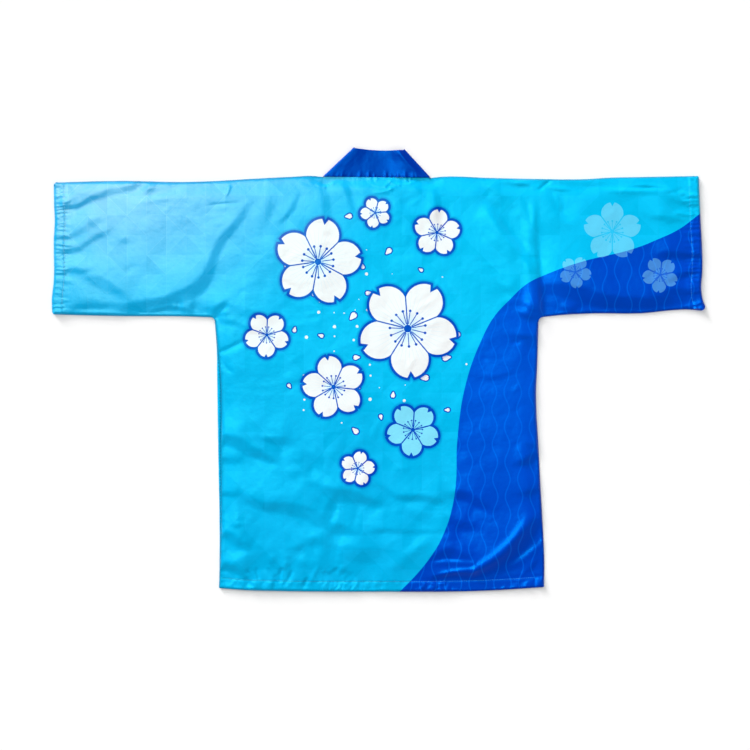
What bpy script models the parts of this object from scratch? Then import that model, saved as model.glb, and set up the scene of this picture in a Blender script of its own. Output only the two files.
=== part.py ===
"""Happi coat, laid flat with its back up.

Four cut pieces, each a closed wall of cloth:
  back         the T-shaped back panel with both sleeve backs, on top
  front_left   the left front with its half of the sleeve, face down
  front_right  the same on the right
  collar       one strip, up the left front edge, round the neck and down the right

+X runs across the sleeves, +Y towards the collar, +Z up. The origin is at the middle
of the coat's spread, on the surface that it lies on. Tables and sizes are in millimetres.
"""
import math

import bpy
import numpy as np
from mathutils import Vector
from mathutils.geometry import delaunay_2d_cdt

MM = 0.001

# Cloth
WALL = 1.2              # one thickness of cloth
HEM_WALL = 1.9          # where an open edge is turned in
HEM_DEPTH = 20.0
HEM_RAMP = 3.0          # width of the step at the hem's stitching
SEAM_GAP = 0.3          # between pieces that are sewn together
LOFT = 5.8              # how far the back stands off the fronts, away from its edges
GAP_SAG = 0.8           # how far it sinks between the collar's bands
REST_SOFTNESS = 0.3     # rounds the line where the back meets what it lies on
ROLL = 36.0             # width of the slope from a sewn edge up to the loft
NECK_ROLL = 26.0        # and this far at the neck
HEM_FLAT = 10.0         # the hems lie flat over this width
HEM_ROLL = 75.0         # and the cloth rises this slowly behind them

# Collar
COLLAR_WALL = 2.0       # folded double
FOLD_RADIUS = 0.4       # inside the turn at each end of the neck
NECK_DIP = 2.6          # hollow of the neck part's upper edge
NECK_SAG = 0.5          # height of the neck part's underside, midway
BAND_MARGIN = 12.0      # the back lies level this far past a band's edges
BAND_SLOPE = 18.0

# Corners of the coat as it lies: place, and the radius that rounds them
CORNERS = {
    "left_cuff_top": (-623.0, 358.5, 8.0),
    "neck_left": (-107.5, 369.2, 0.0),
    "neck_right": (100.6, 367.3, 0.0),
    "right_cuff_top": (614.4, 371.1, 5.0),
    "right_cuff_end": (623.0, 111.9, 6.0),
    "right_armpit": (307.2, 99.5, 9.0),
    "hem_right": (317.8, -418.0, 4.0),
    "hem_left": (-306.2, -419.9, 4.0),
    "left_armpit": (-314.9, 99.5, 7.0),
    "left_cuff_end": (-625.9, 105.2, 7.0),
    "front_hem_left": (-304.5, -416.5, 4.0),
    "front_foot_left": (-107.5, -421.5, 0.0),
    "front_foot_right": (105.3, -421.5, 0.0),
    "front_hem_right": (315.5, -415.0, 4.0),
}

# Edges: the corners that they join, the spacing of their points, and how far the lying
# cloth strays inwards from the straight line, as (share of the edge, distance) rows
EDGES = {
    "top_left": ("left_cuff_top", "neck_left", 13.0,
                 ((0.24, -0.5), (0.50, 4.2), (0.60, 3.5), (0.73, 1.0), (0.88, -1.3), (0.97, -2.0))),
    "neck": ("neck_left", "neck_right", 3.6, ()),
    "top_right": ("neck_right", "right_cuff_top", 13.0,
                  ((0.03, -1.6), (0.22, 0.8), (0.39, 3.5), (0.59, 4.2), (0.65, 2.5), (0.80, 1.2))),
    "right_cuff": ("right_cuff_top", "right_cuff_end", 3.2,
                   ((0.28, -0.4), (0.71, -0.6), (0.84, 2.5), (0.93, -0.5), (0.97, -3.8))),
    "right_underarm": ("right_cuff_end", "right_armpit", 12.0,
                       ((0.09, 4.0), (0.18, 4.0), (0.35, 0.6), (0.69, 3.8), (0.86, 3.1))),
    "right_side": ("right_armpit", "hem_right", 15.0,
                   ((0.19, 5.0), (0.27, 7.7), (0.36, 7.7), (0.45, 5.8), (0.60, 3.5), (0.73, 1.0),
                    (0.90, -1.2))),
    "hem": ("hem_right", "hem_left", 9.0,
            ((0.15, -5.6), (0.23, -7.3), (0.52, -7.7), (0.81, -6.1), (0.92, -4.0))),
    "left_side": ("hem_left", "left_armpit", 14.0,
                  ((0.06, 1.5), (0.18, 4.4), (0.51, 7.3), (0.79, 8.6), (0.88, 4.8))),
    "left_underarm": ("left_armpit", "left_cuff_end", 12.0, ((0.16, 1.0), (0.60, -0.6))),
    "left_cuff": ("left_cuff_end", "left_cuff_top", 3.2,
                  ((0.10, -1.2), (0.26, 2.1), (0.57, 1.3), (0.72, 2.7), (0.83, 1.0))),
    # the fronts' own edges
    "left_side_front": ("front_hem_left", "left_armpit", 14.0,
                        ((0.06, 0.0), (0.18, 1.5), (0.51, 2.1), (0.79, 2.9), (0.88, 3.3))),
    "left_front_edge": ("neck_left", "front_foot_left", 45.0, ()),
    "left_front_hem": ("front_foot_left", "front_hem_left", 22.0, ()),
    "right_side_front": ("right_armpit", "front_hem_right", 15.0,
                         ((0.19, 5.0), (0.27, 7.7), (0.36, 7.7), (0.45, 5.8), (0.60, 3.5), (0.73, 1.0))),
    "right_front_hem": ("front_hem_right", "front_foot_right", 22.0, ()),
    "right_front_edge": ("front_foot_right", "neck_right", 45.0, ()),
}
SEWN_EDGES = ("top_left", "top_right", "right_underarm", "right_side", "left_side", "left_underarm")
OPEN_EDGES = ("right_cuff", "hem", "left_cuff")

BACK_OUTLINE = ("top_left", "neck", "top_right", "right_cuff", "right_underarm", "right_side",
                "hem", "left_side", "left_underarm", "left_cuff")
FRONT_OUTLINES = {
    "front_left": ("top_left", "left_front_edge", "left_front_hem", "left_side_front",
                   "left_underarm", "left_cuff"),
    "front_right": ("top_right", "right_cuff", "right_underarm", "right_side_front",
                    "right_front_hem", "right_front_edge"),
}

# Folds of the back. Each runs from one place to another with a bow to its left, and has a
# half width, a height (a trough is below 0), a lean that makes its left side the steeper,
# and how much of its height it has lost at each end
FOLD_COLUMNS = ("x0", "y0", "x1", "y1", "bow", "width", "height", "lean", "lost0", "lost1")
BACK_FOLDS = (
    # left sleeve: the slack swings down from the shoulder and out along the underarm
    (-268, 296, -352, 150, 12, 26, 1.2, 0.0, 1, 1),
    (-385, 126, -350, 120, 2, 13, 2.6, 0.0, 1, 1),
    (-190, 325, -236, 246, 4, 11, -1.7, 0.0, 1, 1),
    (-150, 345, -194, 272, -5, 8, -2.3, 0.2, 1, 1),
    (-602, 317, -533, 350, 5, 7, 1.4, 0.0, 0, 1),
    (-452, 333, -390, 350, 5, 7, -2.2, 0.2, 1, 1),
    (-598, 254, -500, 297, 3, 9, -1.8, 0.1, 0, 1),
    (-598, 224, -512, 265, -3, 8, -2.2, 0.2, 0, 1),
    (-602, 187, -550, 195, 0, 6, -1.7, 0.0, 0, 1),
    (-583, 170, -480, 127, 5, 15, -1.8, -0.2, 1, 1),
    (-593, 120, -415, 121, 0, 5, -2.0, 0.0, 1, 1),
    # left armpit: creases spread from the corner
    (-312, 99, -284, 129, 0, 5, -1.6, 0.0, 0, 1),
    (-310, 101, -175, 92, 8, 9, -2.6, 0.2, 0, 1),
    (-310, 94, -248, 73, 2, 6, -2.2, 0.1, 0, 1),
    (-309, 31, -248, 60, -2, 6, -2.2, 0.1, 0, 1),
    (-304, 20, -273, -10, -4, 5, -1.2, 0.0, 0, 1),
    # neck: the cloth hangs over the bands' edges
    (-106, 362, -105, 258, 3, 9, -2.2, 0.0, 0, 1),
    (-71, 356, -48, 285, -3, 8, -2.2, 0.1, 0, 1),
    (112, 345, 118, 262, 0, 6, -3.0, 0.2, 0, 1),
    (119, 250, 140, 122, -8, 8, -1.6, 0.2, 1, 1),
    # right shoulder: a long drape from the shoulder to the side
    (186, 318, 268, 196, 10, 15, 1.8, 0.0, 1, 1),
    (262, 345, 283, 295, 0, 6, -1.2, 0.0, 1, 1),
    # right sleeve
    (288, 300, 293, 118, -2, 11, 2.2, 0.0, 1, 0),
    (305, 341, 327, 361, 0, 4, -2.0, 0.0, 1, 0),
    (322, 340, 385, 262, -5, 9, -1.6, 0.0, 1, 1),
    (344, 124, 384, 112, 0, 9, 2.2, 0.0, 1, 1),
    (545, 214, 585, 222, 0, 10, -1.6, 0.0, 1, 0),
    # right armpit
    (309, 99, 240, 126, -5, 8, -2.4, 0.0, 0, 1),
    (304, 66, 238, 62, 0, 6, -1.8, 0.0, 0, 1),
    # body, left half: shallow creases across from the side and towards the hem
    (-236, -132, -158, -134, 0, 6, -1.6, 0.2, 1, 1),
    (-140, -226, -78, -272, 4, 11, 1.2, 0.0, 1, 1),
    (-90, -300, 130, -313, -8, 6, -1.8, 0.2, 1, 1),
    (-299, -312, -254, -342, 3, 8, -2.8, 0.2, 0, 1),
    (-299, -370, -246, -396, 3, 8, -2.2, 0.2, 0, 1),
    (-262, -340, -90, -346, -6, 16, -2.0, 0.0, 1, 1),
    # body, right half: a long roll from the hem up to the side
    (84, -376, 190, -366, -6, 12, 2.6, 0.2, 1, 0),
    (190, -366, 298, -252, -14, 14, 3.4, 0.2, 0, 1),
    (196, -402, 316, -330, -8, 9, 2.0, 0.2, 1, 0),
    (110, -336, 176, -362, 4, 12, -2.0, 0.0, 1, 1),
    (258, -178, 306, -164, 0, 8, -2.0, 0.0, 1, 0),
)

# Where the back drops across a line, towards -Y or +X: steep across a width, and easing back
# on both sides. Stations of x, y, width and drop
BACK_FALLS = (
    # left sleeve: the long drape from the shoulder out to the underarm, and one from the cuff
    ((-245, 319, 12, 0.3), (-274, 277, 15, 3.0), (-306, 237, 17, 3.6), (-317, 210, 18, 3.8),
     (-327, 181, 20, 4.4), (-341, 160, 26, 5.4), (-362, 146, 24, 6.0), (-381, 139, 22, 6.0),
     (-410, 127, 22, 5.8), (-439, 122, 23, 5.4), (-477, 116, 20, 3.0), (-500, 113, 16, 0.5)),
    ((-456, 355, 8, 0.8), (-487, 344, 14, 4.2), (-515, 340, 17, 4.6), (-558, 323, 11, 3.6),
     (-600, 310, 8, 1.8)),
    # right shoulder, and the line where the right sleeve leaves the body
    ((301, 186, 10, 1.7), (287, 208, 14, 5.5), (274, 229, 16, 6.4), (241, 269, 15, 6.1),
     (218, 304, 13, 4.4), (205, 321, 10, 0.7)),
    ((314, 106, 9, 5.8), (310, 152, 9, 5.5), (306, 200, 9, 4.1), (302, 248, 8, 2.3), (302, 318, 8, 0.6)),
    # right sleeve, along the underarm
    ((318, 154, 18, 2.9), (348, 152, 24, 5.2), (387, 144, 28, 5.4), (425, 133, 26, 6.4),
     (473, 126, 24, 5.5), (540, 128, 22, 4.4), (600, 138, 16, 2.2)),
    # body, left half
    ((-300, -134, 18, 4.5), (-270, -141, 22, 7.2), (-247, -156, 21, 6.8), (-227, -164, 15, 4.8),
     (-193, -179, 7, 0.3)),
    ((-270, -230, 8, 0.3), (-249, -251, 15, 3.4), (-222, -262, 16, 4.0), (-189, -264, 19, 4.8),
     (-162, -270, 24, 5.2), (-115, -289, 26, 4.8), (-96, -300, 14, 0.6)),
    ((-130, -219, 8, 0.5), (-103, -233, 18, 3.8), (-80, -242, 25, 6.0), (-55, -243, 25, 6.0),
     (-32, -249, 17, 4.2), (12, -259, 8, 0.3)),
    # body, right half: the last is a long roll from the hem up to the side
    ((137, -240, 14, 1.9), (150, -241, 20, 5.0), (170, -244, 23, 6.2), (191, -257, 23, 6.2),
     (214, -271, 14, 1.5)),
    ((96, -402, 8, 1.0), (128, -396, 13, 4.5), (153, -395, 19, 6.2), (180, -397, 23, 6.0),
     (206, -387, 27, 7.2), (231, -374, 33, 8.4), (252, -358, 38, 9.0), (270, -337, 42, 9.0),
     (287, -316, 42, 7.6), (306, -293, 34, 4.5)),
)
FALL_EASE = (1.4, 10.0)     # reach of the easing: so many widths, and so far besides
FALL_CLOSE = 9.0            # a fall dies out this far past its ends

# Folds that the fronts share, as lifts off the surface
FRONT_COLUMNS = ("x0", "y0", "x1", "y1", "bow", "width", "height")
FRONT_FOLDS = (
    (-312, 296, -404, 168, 12, 15, 2.2),
    (-585, 290, -490, 335, 5, 11, 1.8),
    (-290, -205, -150, -238, -8, 14, 2.2),
    (-270, -330, -150, -355, 4, 12, 1.8),
    (-250, 40, -160, -90, 10, 14, 2.0),
    (175, 325, 276, 196, 10, 15, 2.2),
    (330, 330, 395, 250, -5, 12, 1.8),
    (150, -372, 292, -258, -12, 13, 2.6),
    (150, -60, 255, -150, 8, 14, 2.0),
    (520, 250, 585, 190, 6, 11, 1.6),
)

FOLD_END = 0.4          # share of a fold over which it dies out at an end

# Gathers along the sewn lines: how many, how deep they reach, and their height
CUFF_GATHERS = 20
CUFF_GATHER_REACH = 32.0
CUFF_GATHER_HEIGHT = 1.5
NECK_GATHERS = 14
NECK_GATHER_REACH = 17.0
NECK_GATHER_HEIGHT = 1.3
HEM_WAVES = 17
HEM_WAVE_HEIGHT = 1.0
# how the gathers wander: (in gathers, turns along the line) for their pitch, then the middle
# and the swing of their strength and its turns along the line
GATHER_WANDER = ((0.55, 2.3), (0.2, 6.1))
GATHER_STRENGTH = (0.62, 0.38, 3.7)

# Broad swells of the loft: share of it, and lengths in X and Y
BROAD_SWELL = (0.16, 74.0, 61.0)
SLANTING_SWELL = (0.10, 43.0)

EDGE_CLEAR = 6.0            # folds begin this far in from every edge
# between the collar's bands: where the sag begins beside a band, and its slope's share of the gap
GAP_SAG_START = 6.0
GAP_SAG_SLOPE = 0.6

# Ends of the collar's three straight runs, outer (sewn) and inner (free) edge
COLLAR_FOOT_Y = -421.0
COLLAR_FEET = {"left": (-107.2, -50.0), "right": (105.0, 48.0)}
COLLAR_TURNS = {"left": ((-107.2, 369.6), (-47.0, 426.4)),
                "right": ((100.2, 367.7), (49.5, 422.8))}
COLLAR_ACROSS = (0.0, 0.13, 0.31, 0.6, 1.0)    # shares of its width, from the sewn edge

# Spacing of the mesh
BACK_PITCH = 32.0
FRONT_PITCH = 42.0
FRONT_EDGE_PITCH = 14.0
BACK_FOLD_OFFSETS = (0.0, 0.85, -0.85, 1.8, -1.8)      # rows beside a fold, in half widths
FALL_EASE_OFFSETS = (0.55, 1.25)                        # rows beside a fall, in easing reaches
FRONT_FOLD_OFFSETS = (0.0, 1.5, -1.5)
CUFF_ROWS = ((18.0, 3.3), (22.5, 4.4), (34.0, 12.0))    # inset, spacing
HEM_ROWS = ((18.0, 12.0), (22.0, 12.0))
NECK_ROWS = ((7.0, 4.4), (17.0, 8.0))


# ---------------------------------------------------------------- curves and distances

def smooth_step(share):
    share = np.clip(share, 0.0, 1.0)
    return share * share * (3.0 - 2.0 * share)


def curve_through(rows, places):
    """A smooth curve through (place, value) rows, read at some places."""
    rows = np.array(rows)
    slopes = np.gradient(rows[:, 1], rows[:, 0])
    index = np.clip(np.searchsorted(rows[:, 0], places) - 1, 0, len(rows) - 2)
    step = rows[index + 1, 0] - rows[index, 0]
    t = (places - rows[index, 0]) / step
    start = rows[index, 1] * (1 + 2 * t) * (1 - t) ** 2 + slopes[index] * step * t * (1 - t) ** 2
    end = rows[index + 1, 1] * t * t * (3 - 2 * t) - slopes[index + 1] * step * t * t * (1 - t)
    return start + end


def edge_points(name, spacing=None, inset=0.0):
    """Points along an edge, clear of its rounded corners."""
    start_name, end_name, own_spacing, strays = EDGES[name]
    start = np.array(CORNERS[start_name][:2])
    end = np.array(CORNERS[end_name][:2])
    length = np.linalg.norm(end - start)
    along = (end - start) / length
    inwards = np.array((along[1], -along[0]))
    trim0 = max(CORNERS[start_name][2], inset) / length
    trim1 = max(CORNERS[end_name][2], inset) / length
    count = max(2, round(length / (spacing or own_spacing)) + 1)
    shares = np.linspace(trim0, 1.0 - trim1, count)
    stray = curve_through(((0.0, 0.0),) + strays + ((1.0, 0.0),), shares) if strays else 0.0 * shares
    return start + np.outer(shares * length, along) + np.outer(stray + inset, inwards)


def outline(edge_names, finest=0.0):
    """A closed outline, clockwise, its corners rounded."""
    points = []
    for name, next_name in zip(edge_names, edge_names[1:] + edge_names[:1]):
        run = edge_points(name, max(EDGES[name][2], finest))
        points.extend(run)
        x, y, radius = CORNERS[EDGES[name][1]]
        if radius > 0.0:
            after = edge_points(next_name)[0]
            for t in (0.25, 0.5, 0.75):
                points.append(run[-1] * (1 - t) ** 2 + np.array((x, y)) * 2 * t * (1 - t) + after * t * t)
    return without_repeats(np.array(points))


def without_repeats(points, nearest=0.5):
    keep = [points[0]]
    for point in points[1:]:
        if np.linalg.norm(point - keep[-1]) > nearest:
            keep.append(point)
    if np.linalg.norm(keep[0] - keep[-1]) < nearest:
        keep.pop()
    return np.array(keep)


def nearest_on(path, points):
    """Distance to a path, its side (left is above 0) and the share along it."""
    best = np.full(len(points), 1e9)
    side = np.zeros(len(points))
    share = np.zeros(len(points))
    legs = np.linalg.norm(np.diff(path, axis=0), axis=1)
    travelled = np.concatenate(((0.0,), np.cumsum(legs)))
    for leg, (a, b) in enumerate(zip(path[:-1], path[1:])):
        along = (b - a) / legs[leg]
        off = points - a
        t = np.clip(off @ along, 0.0, legs[leg])
        away = off - np.outer(t, along)
        distance = np.hypot(away[:, 0], away[:, 1])
        closer = distance < best
        best[closer] = distance[closer]
        side[closer] = np.sign(along[0] * off[closer, 1] - along[1] * off[closer, 0])
        share[closer] = (travelled[leg] + t[closer]) / travelled[-1]
    return best, side, share


def bowed_path(row, count=9):
    a = np.array((row["x0"], row["y0"]), float)
    b = np.array((row["x1"], row["y1"]), float)
    left = np.array((a[1] - b[1], b[0] - a[0])) / np.linalg.norm(b - a)
    middle = (a + b) / 2 + left * row["bow"] * 2
    t = np.linspace(0.0, 1.0, count)[:, None]
    return a * (1 - t) ** 2 + middle * 2 * t * (1 - t) + b * t * t


# ---------------------------------------------------------------- heights of the cloth

def fold_heights(points):
    """The sum of the back's folds."""
    total = np.zeros(len(points))
    for values in BACK_FOLDS:
        row = dict(zip(FOLD_COLUMNS, values))
        distance, side, share = nearest_on(bowed_path(row), points)
        width = row["width"] * (1.0 - row["lean"] * side)
        ends = 1.0 - row["lost0"] * (1.0 - smooth_step(share / FOLD_END))
        ends *= 1.0 - row["lost1"] * (1.0 - smooth_step((1.0 - share) / FOLD_END))
        total += row["height"] * ends * np.exp(-(distance / width) ** 2)
    return total


def fall_path(stations):
    """A fall's smooth path, its drop to the right, with places, widths and drops along it."""
    x, y, width, drop = np.array(stations, float).T
    placed = np.concatenate(((0.0,), np.cumsum(np.hypot(np.diff(x), np.diff(y)))))
    placed /= placed[-1]
    shares = np.linspace(0.0, 1.0, 4 * len(x) - 3)
    path = np.column_stack([curve_through(np.column_stack((placed, values)), shares)
                            for values in (x, y)])
    if x[-1] - x[0] + y[-1] - y[0] < 0.0:
        return path[::-1], 1.0 - placed[::-1], width[::-1], drop[::-1]
    return path, placed, width, drop


def fall_heights(points):
    """The sum of the back's falls: half of each drop stands above, and half lies below."""
    total = np.zeros(len(points))
    for stations in BACK_FALLS:
        path, placed, width, drop = fall_path(stations)
        distance, side, share = nearest_on(path, points)
        before = (path[0] - points) @ (path[1] - path[0]) / np.linalg.norm(path[1] - path[0])
        after = (points - path[-1]) @ (path[-1] - path[-2]) / np.linalg.norm(path[-1] - path[-2])
        past = np.clip(np.where(share < 0.5, before, after), 0.0, distance)
        across = -side * np.sqrt(distance ** 2 - past ** 2)
        width = np.interp(share, placed, width)
        level = 0.5 - np.clip(across / width + 0.5, 0.0, 1.0)
        beyond = np.maximum(np.abs(across) - width / 2, 0.0) / (FALL_EASE[0] * width + FALL_EASE[1])
        fade = np.exp(-beyond ** 2 - (past / FALL_CLOSE) ** 2)
        total += np.interp(share, placed, drop) * level * fade
    return total


def front_lifts(points):
    """How far the fronts' underside leaves the surface."""
    total = np.zeros(len(points))
    for values in FRONT_FOLDS:
        row = dict(zip(FRONT_COLUMNS, values))
        distance, _, share = nearest_on(bowed_path(row), points)
        ends = smooth_step(share / FOLD_END) * smooth_step((1.0 - share) / FOLD_END)
        total = np.maximum(total, row["height"] * ends * smooth_step(1.0 - distance / row["width"] / 1.4))
    return total


def uneven_waves(share, count, phase):
    """Gathers, 0 to 1, of uneven pitch and height along a sewn line."""
    turn = 2.0 * math.pi
    (slow, slow_turns), (quick, quick_turns) = GATHER_WANDER
    pitch = share * count + slow * np.sin(turn * share * slow_turns + phase)
    pitch += quick * np.sin(turn * share * quick_turns)
    wave = 0.5 - 0.5 * np.cos(turn * pitch)
    middle, swing, turns = GATHER_STRENGTH
    return wave * (middle + swing * np.sin(turn * share * turns + 2.0 * phase))


def gather_heights(points):
    """Small waves where a stitched line draws the back's edge in."""
    total = np.zeros(len(points))
    for name, phase in (("left_cuff", 0.6), ("right_cuff", 2.1)):
        distance, _, share = nearest_on(edge_points(name), points)
        fade = smooth_step(1.0 - (distance - HEM_DEPTH) / (CUFF_GATHER_REACH - HEM_DEPTH))
        total += CUFF_GATHER_HEIGHT * fade * uneven_waves(share, CUFF_GATHERS, phase)
    distance, _, share = nearest_on(edge_points("neck"), points)
    fade = smooth_step(1.0 - distance / NECK_GATHER_REACH)
    total += NECK_GATHER_HEIGHT * fade * uneven_waves(share, NECK_GATHERS, 1.2)
    distance, _, share = nearest_on(edge_points("hem"), points)
    fade = smooth_step(1.0 - (distance - HEM_DEPTH) / HEM_DEPTH)
    total += HEM_WAVE_HEIGHT * fade * uneven_waves(share, HEM_WAVES, 0.3)
    return total


def hem_share(points, margin=0.0):
    """1 inside a turned hem, 0 outside it."""
    nearest = np.min([nearest_on(edge_points(name), points)[0] for name in OPEN_EDGES], axis=0)
    return smooth_step((HEM_DEPTH + HEM_RAMP / 2 + margin - nearest) / HEM_RAMP)


def cloth_wall(points):
    return WALL + (HEM_WALL - WALL) * hem_share(points)


def between_bands(x):
    """1 midway between the collar's bands, 0 on them."""
    left, right = COLLAR_TURNS["left"][1][0], COLLAR_TURNS["right"][1][0]
    half = (right - left) / 2
    return smooth_step((half - GAP_SAG_START - np.abs(x - (left + right) / 2)) / (half * GAP_SAG_SLOPE))


def ground_under_back(points):
    """What the back lies on: the fronts, the collar's bands, and the gap between them."""
    x = points[:, 0]
    ground = WALL + front_lifts(points) + (HEM_WALL - WALL) * hem_share(points, BAND_MARGIN)
    past_left = COLLAR_TURNS["left"][0][0] - BAND_MARGIN - x
    past_right = x - BAND_MARGIN - COLLAR_FEET["right"][0]
    on_bands = smooth_step(1.0 - np.maximum(past_left, past_right) / BAND_SLOPE)
    ground = np.maximum(ground, WALL + (COLLAR_WALL - WALL) * on_bands)
    return ground - (COLLAR_WALL - NECK_SAG + SEAM_GAP) * between_bands(x)


def back_underside(points):
    sewn = np.min([nearest_on(edge_points(name), points)[0] for name in SEWN_EDGES], axis=0)
    hemmed = np.min([nearest_on(edge_points(name), points)[0] for name in OPEN_EDGES], axis=0)
    neck = nearest_on(edge_points("neck"), points)[0]
    inside = smooth_step(sewn / ROLL) * smooth_step(neck / NECK_ROLL)
    inside *= smooth_step((hemmed - HEM_FLAT) / HEM_ROLL)
    x, y = points[:, 0], points[:, 1]
    share, length_x, length_y = BROAD_SWELL
    swell = share * np.sin(x / length_x + 0.8) * np.cos(y / length_y)
    share, length = SLANTING_SWELL
    swell += share * np.sin((x + y) / length)
    clear_of_edge = smooth_step(np.minimum(np.minimum(sewn, hemmed), neck) / EDGE_CLEAR)
    height = LOFT * inside * (1.0 + swell) + gather_heights(points)
    height += clear_of_edge * (fold_heights(points) + fall_heights(points))
    height -= GAP_SAG * between_bands(x) * inside
    # where the cloth would sink into what it lies on, it rests a seam's gap above it
    ground = ground_under_back(points)
    over = WALL + height - ground
    return ground + SEAM_GAP + 0.5 * (over + np.sqrt(over * over + REST_SOFTNESS ** 2))


# ---------------------------------------------------------------- meshes

def inside_outline(polygon, points, margin):
    """Which points lie inside a closed outline, further than a margin from it."""
    inside = np.zeros(len(points), bool)
    closed = np.vstack((polygon, polygon[:1]))
    for a, b in zip(closed[:-1], closed[1:]):
        spans = (a[1] > points[:, 1]) != (b[1] > points[:, 1])
        if a[1] != b[1]:
            crossing = a[0] + (points[:, 1] - a[1]) * (b[0] - a[0]) / (b[1] - a[1])
            inside ^= spans & (points[:, 0] < crossing)
    return inside & (nearest_on(closed, points)[0] > margin)


def triangle_grid(polygon, pitch):
    low, high = polygon.min(axis=0), polygon.max(axis=0)
    rows = np.arange(low[1], high[1], pitch * math.sqrt(0.75))
    grid = []
    for index, y in enumerate(rows):
        xs = np.arange(low[0] + (index % 2) * pitch / 2, high[0], pitch)
        grid.append(np.column_stack((xs, np.full(len(xs), y))))
    return np.vstack(grid)


def fold_rows(columns, folds, offsets):
    """Rows of points along each fold and beside it."""
    groups = []
    for values in folds:
        row = dict(zip(columns, values))
        path = bowed_path(row)
        length = np.linalg.norm(np.diff(path, axis=0), axis=1).sum()
        count = max(3, round(length / max(13.0, row["width"] * 1.6)) + 1)
        path = bowed_path(row, count)
        along = np.gradient(path, axis=0)
        along /= np.linalg.norm(along, axis=1)[:, None]
        left = np.column_stack((-along[:, 1], along[:, 0]))
        for offset in offsets:
            groups.append((path + left * offset * row["width"], max(5.5, row["width"] * 0.85)))
    return groups


def fall_rows():
    """Rows of points along each fall's brink and foot, and over its easing."""
    groups = []
    for stations in BACK_FALLS:
        path, placed, widths, _ = fall_path(stations)
        length = np.linalg.norm(np.diff(path, axis=0), axis=1).sum()
        broad = widths.max()
        shares = np.linspace(0.0, 1.0, max(3, round(length / max(11.0, broad * 0.6)) + 1))
        along_path = np.linspace(0.0, 1.0, len(path))
        middle = np.column_stack([np.interp(shares, along_path, path[:, axis]) for axis in (0, 1)])
        along = np.gradient(middle, axis=0)
        along /= np.linalg.norm(along, axis=1)[:, None]
        left = np.column_stack((-along[:, 1], along[:, 0]))
        half = np.interp(shares, placed, widths)[:, None] / 2
        ease = 2 * half * FALL_EASE[0] + FALL_EASE[1]
        for sign in (1.0, -1.0):
            groups.append((middle + left * sign * half, max(6.0, broad * 0.35)))
        for offset in FALL_EASE_OFFSETS:
            for sign in (1.0, -1.0):
                groups.append((middle + left * sign * (half + ease * offset), 11.0 + 5.0 * offset))
    return groups


def thinned(polygon, groups, margin=2.6):
    """Points of each group in turn, each at least its spacing from those kept before."""
    kept = polygon
    for points, spacing in groups:
        points = points[inside_outline(polygon, points, min(margin, spacing * 0.6))]
        for point in points:
            if np.min(np.hypot(kept[:, 0] - point[0], kept[:, 1] - point[1])) > spacing:
                kept = np.vstack((kept, point))
    return kept


def wall_mesh(name, polygon, points, underside, wall):
    """A closed wall of cloth: one triangulation for both its faces, and a rim."""
    outline_face = [list(range(len(polygon)))]
    flat, _, triangles, _, _, _ = delaunay_2d_cdt([Vector(p) for p in points], [], outline_face, 1, 1e-5)
    flat = np.array([tuple(p) for p in flat])
    step = 0.5
    low = underside(flat)
    slope_x = (underside(flat + (step, 0.0)) - underside(flat - (step, 0.0))) / (2 * step)
    slope_y = (underside(flat + (0.0, step)) - underside(flat - (0.0, step))) / (2 * step)
    high = low + wall(flat) * np.sqrt(1.0 + slope_x ** 2 + slope_y ** 2)
    count = len(flat)
    vertices = [(x * MM, y * MM, z * MM) for (x, y), z in zip(flat, high)]
    vertices += [(x * MM, y * MM, z * MM) for (x, y), z in zip(flat, low)]
    faces = []
    rim = set()
    for a, b, c in triangles:
        first, second = flat[b] - flat[a], flat[c] - flat[a]
        if first[0] * second[1] < first[1] * second[0]:
            b, c = c, b
        faces.append((a, b, c))
        faces.append((count + c, count + b, count + a))
        for edge in ((a, b), (b, c), (c, a)):
            if edge[::-1] in rim:
                rim.remove(edge[::-1])
            else:
                rim.add(edge)
    for a, b in sorted(rim):
        faces.append((b, a, count + a))
        faces.append((b, count + a, count + b))
    return add_object(name, vertices, faces)


def add_object(name, vertices, faces):
    mesh = bpy.data.meshes.new(name)
    mesh.from_pydata(vertices, [], faces)
    mesh.validate()
    mesh.shade_smooth()
    mesh.set_sharp_from_angle(angle=math.radians(50.0))
    piece = bpy.data.objects.new(name, mesh)
    bpy.context.scene.collection.objects.link(piece)
    return piece


# ---------------------------------------------------------------- the pieces

def make_back():
    polygon = outline(BACK_OUTLINE)
    groups = []
    stitched = (("left_cuff", CUFF_ROWS), ("right_cuff", CUFF_ROWS), ("hem", HEM_ROWS), ("neck", NECK_ROWS))
    for name, rows in stitched:
        for inset, spacing in rows:
            groups.append((edge_points(name, spacing, inset), spacing * 0.7))
    groups += fall_rows()
    groups += fold_rows(FOLD_COLUMNS, BACK_FOLDS, BACK_FOLD_OFFSETS)
    for name in SEWN_EDGES:
        groups.append((edge_points(name, 21.0, 12.0), 9.0))
        groups.append((edge_points(name, 30.0, 30.0), 14.0))
    groups.append((triangle_grid(polygon, BACK_PITCH), BACK_PITCH * 0.62))
    return wall_mesh("back", polygon, thinned(polygon, groups), back_underside, cloth_wall)


def make_front(name):
    polygon = outline(FRONT_OUTLINES[name], FRONT_EDGE_PITCH)
    groups = []
    for edge in FRONT_OUTLINES[name]:
        if edge.endswith("hem") or edge.endswith("cuff"):
            groups.append((edge_points(edge, 22.0, HEM_DEPTH - HEM_RAMP), 12.0))
            groups.append((edge_points(edge, 22.0, HEM_DEPTH + HEM_RAMP), 5.0))
    groups += fold_rows(FRONT_COLUMNS, FRONT_FOLDS, FRONT_FOLD_OFFSETS)
    groups.append((triangle_grid(polygon, FRONT_PITCH), FRONT_PITCH * 0.62))
    return wall_mesh(name, polygon, thinned(polygon, groups), front_lifts, cloth_wall)


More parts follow.
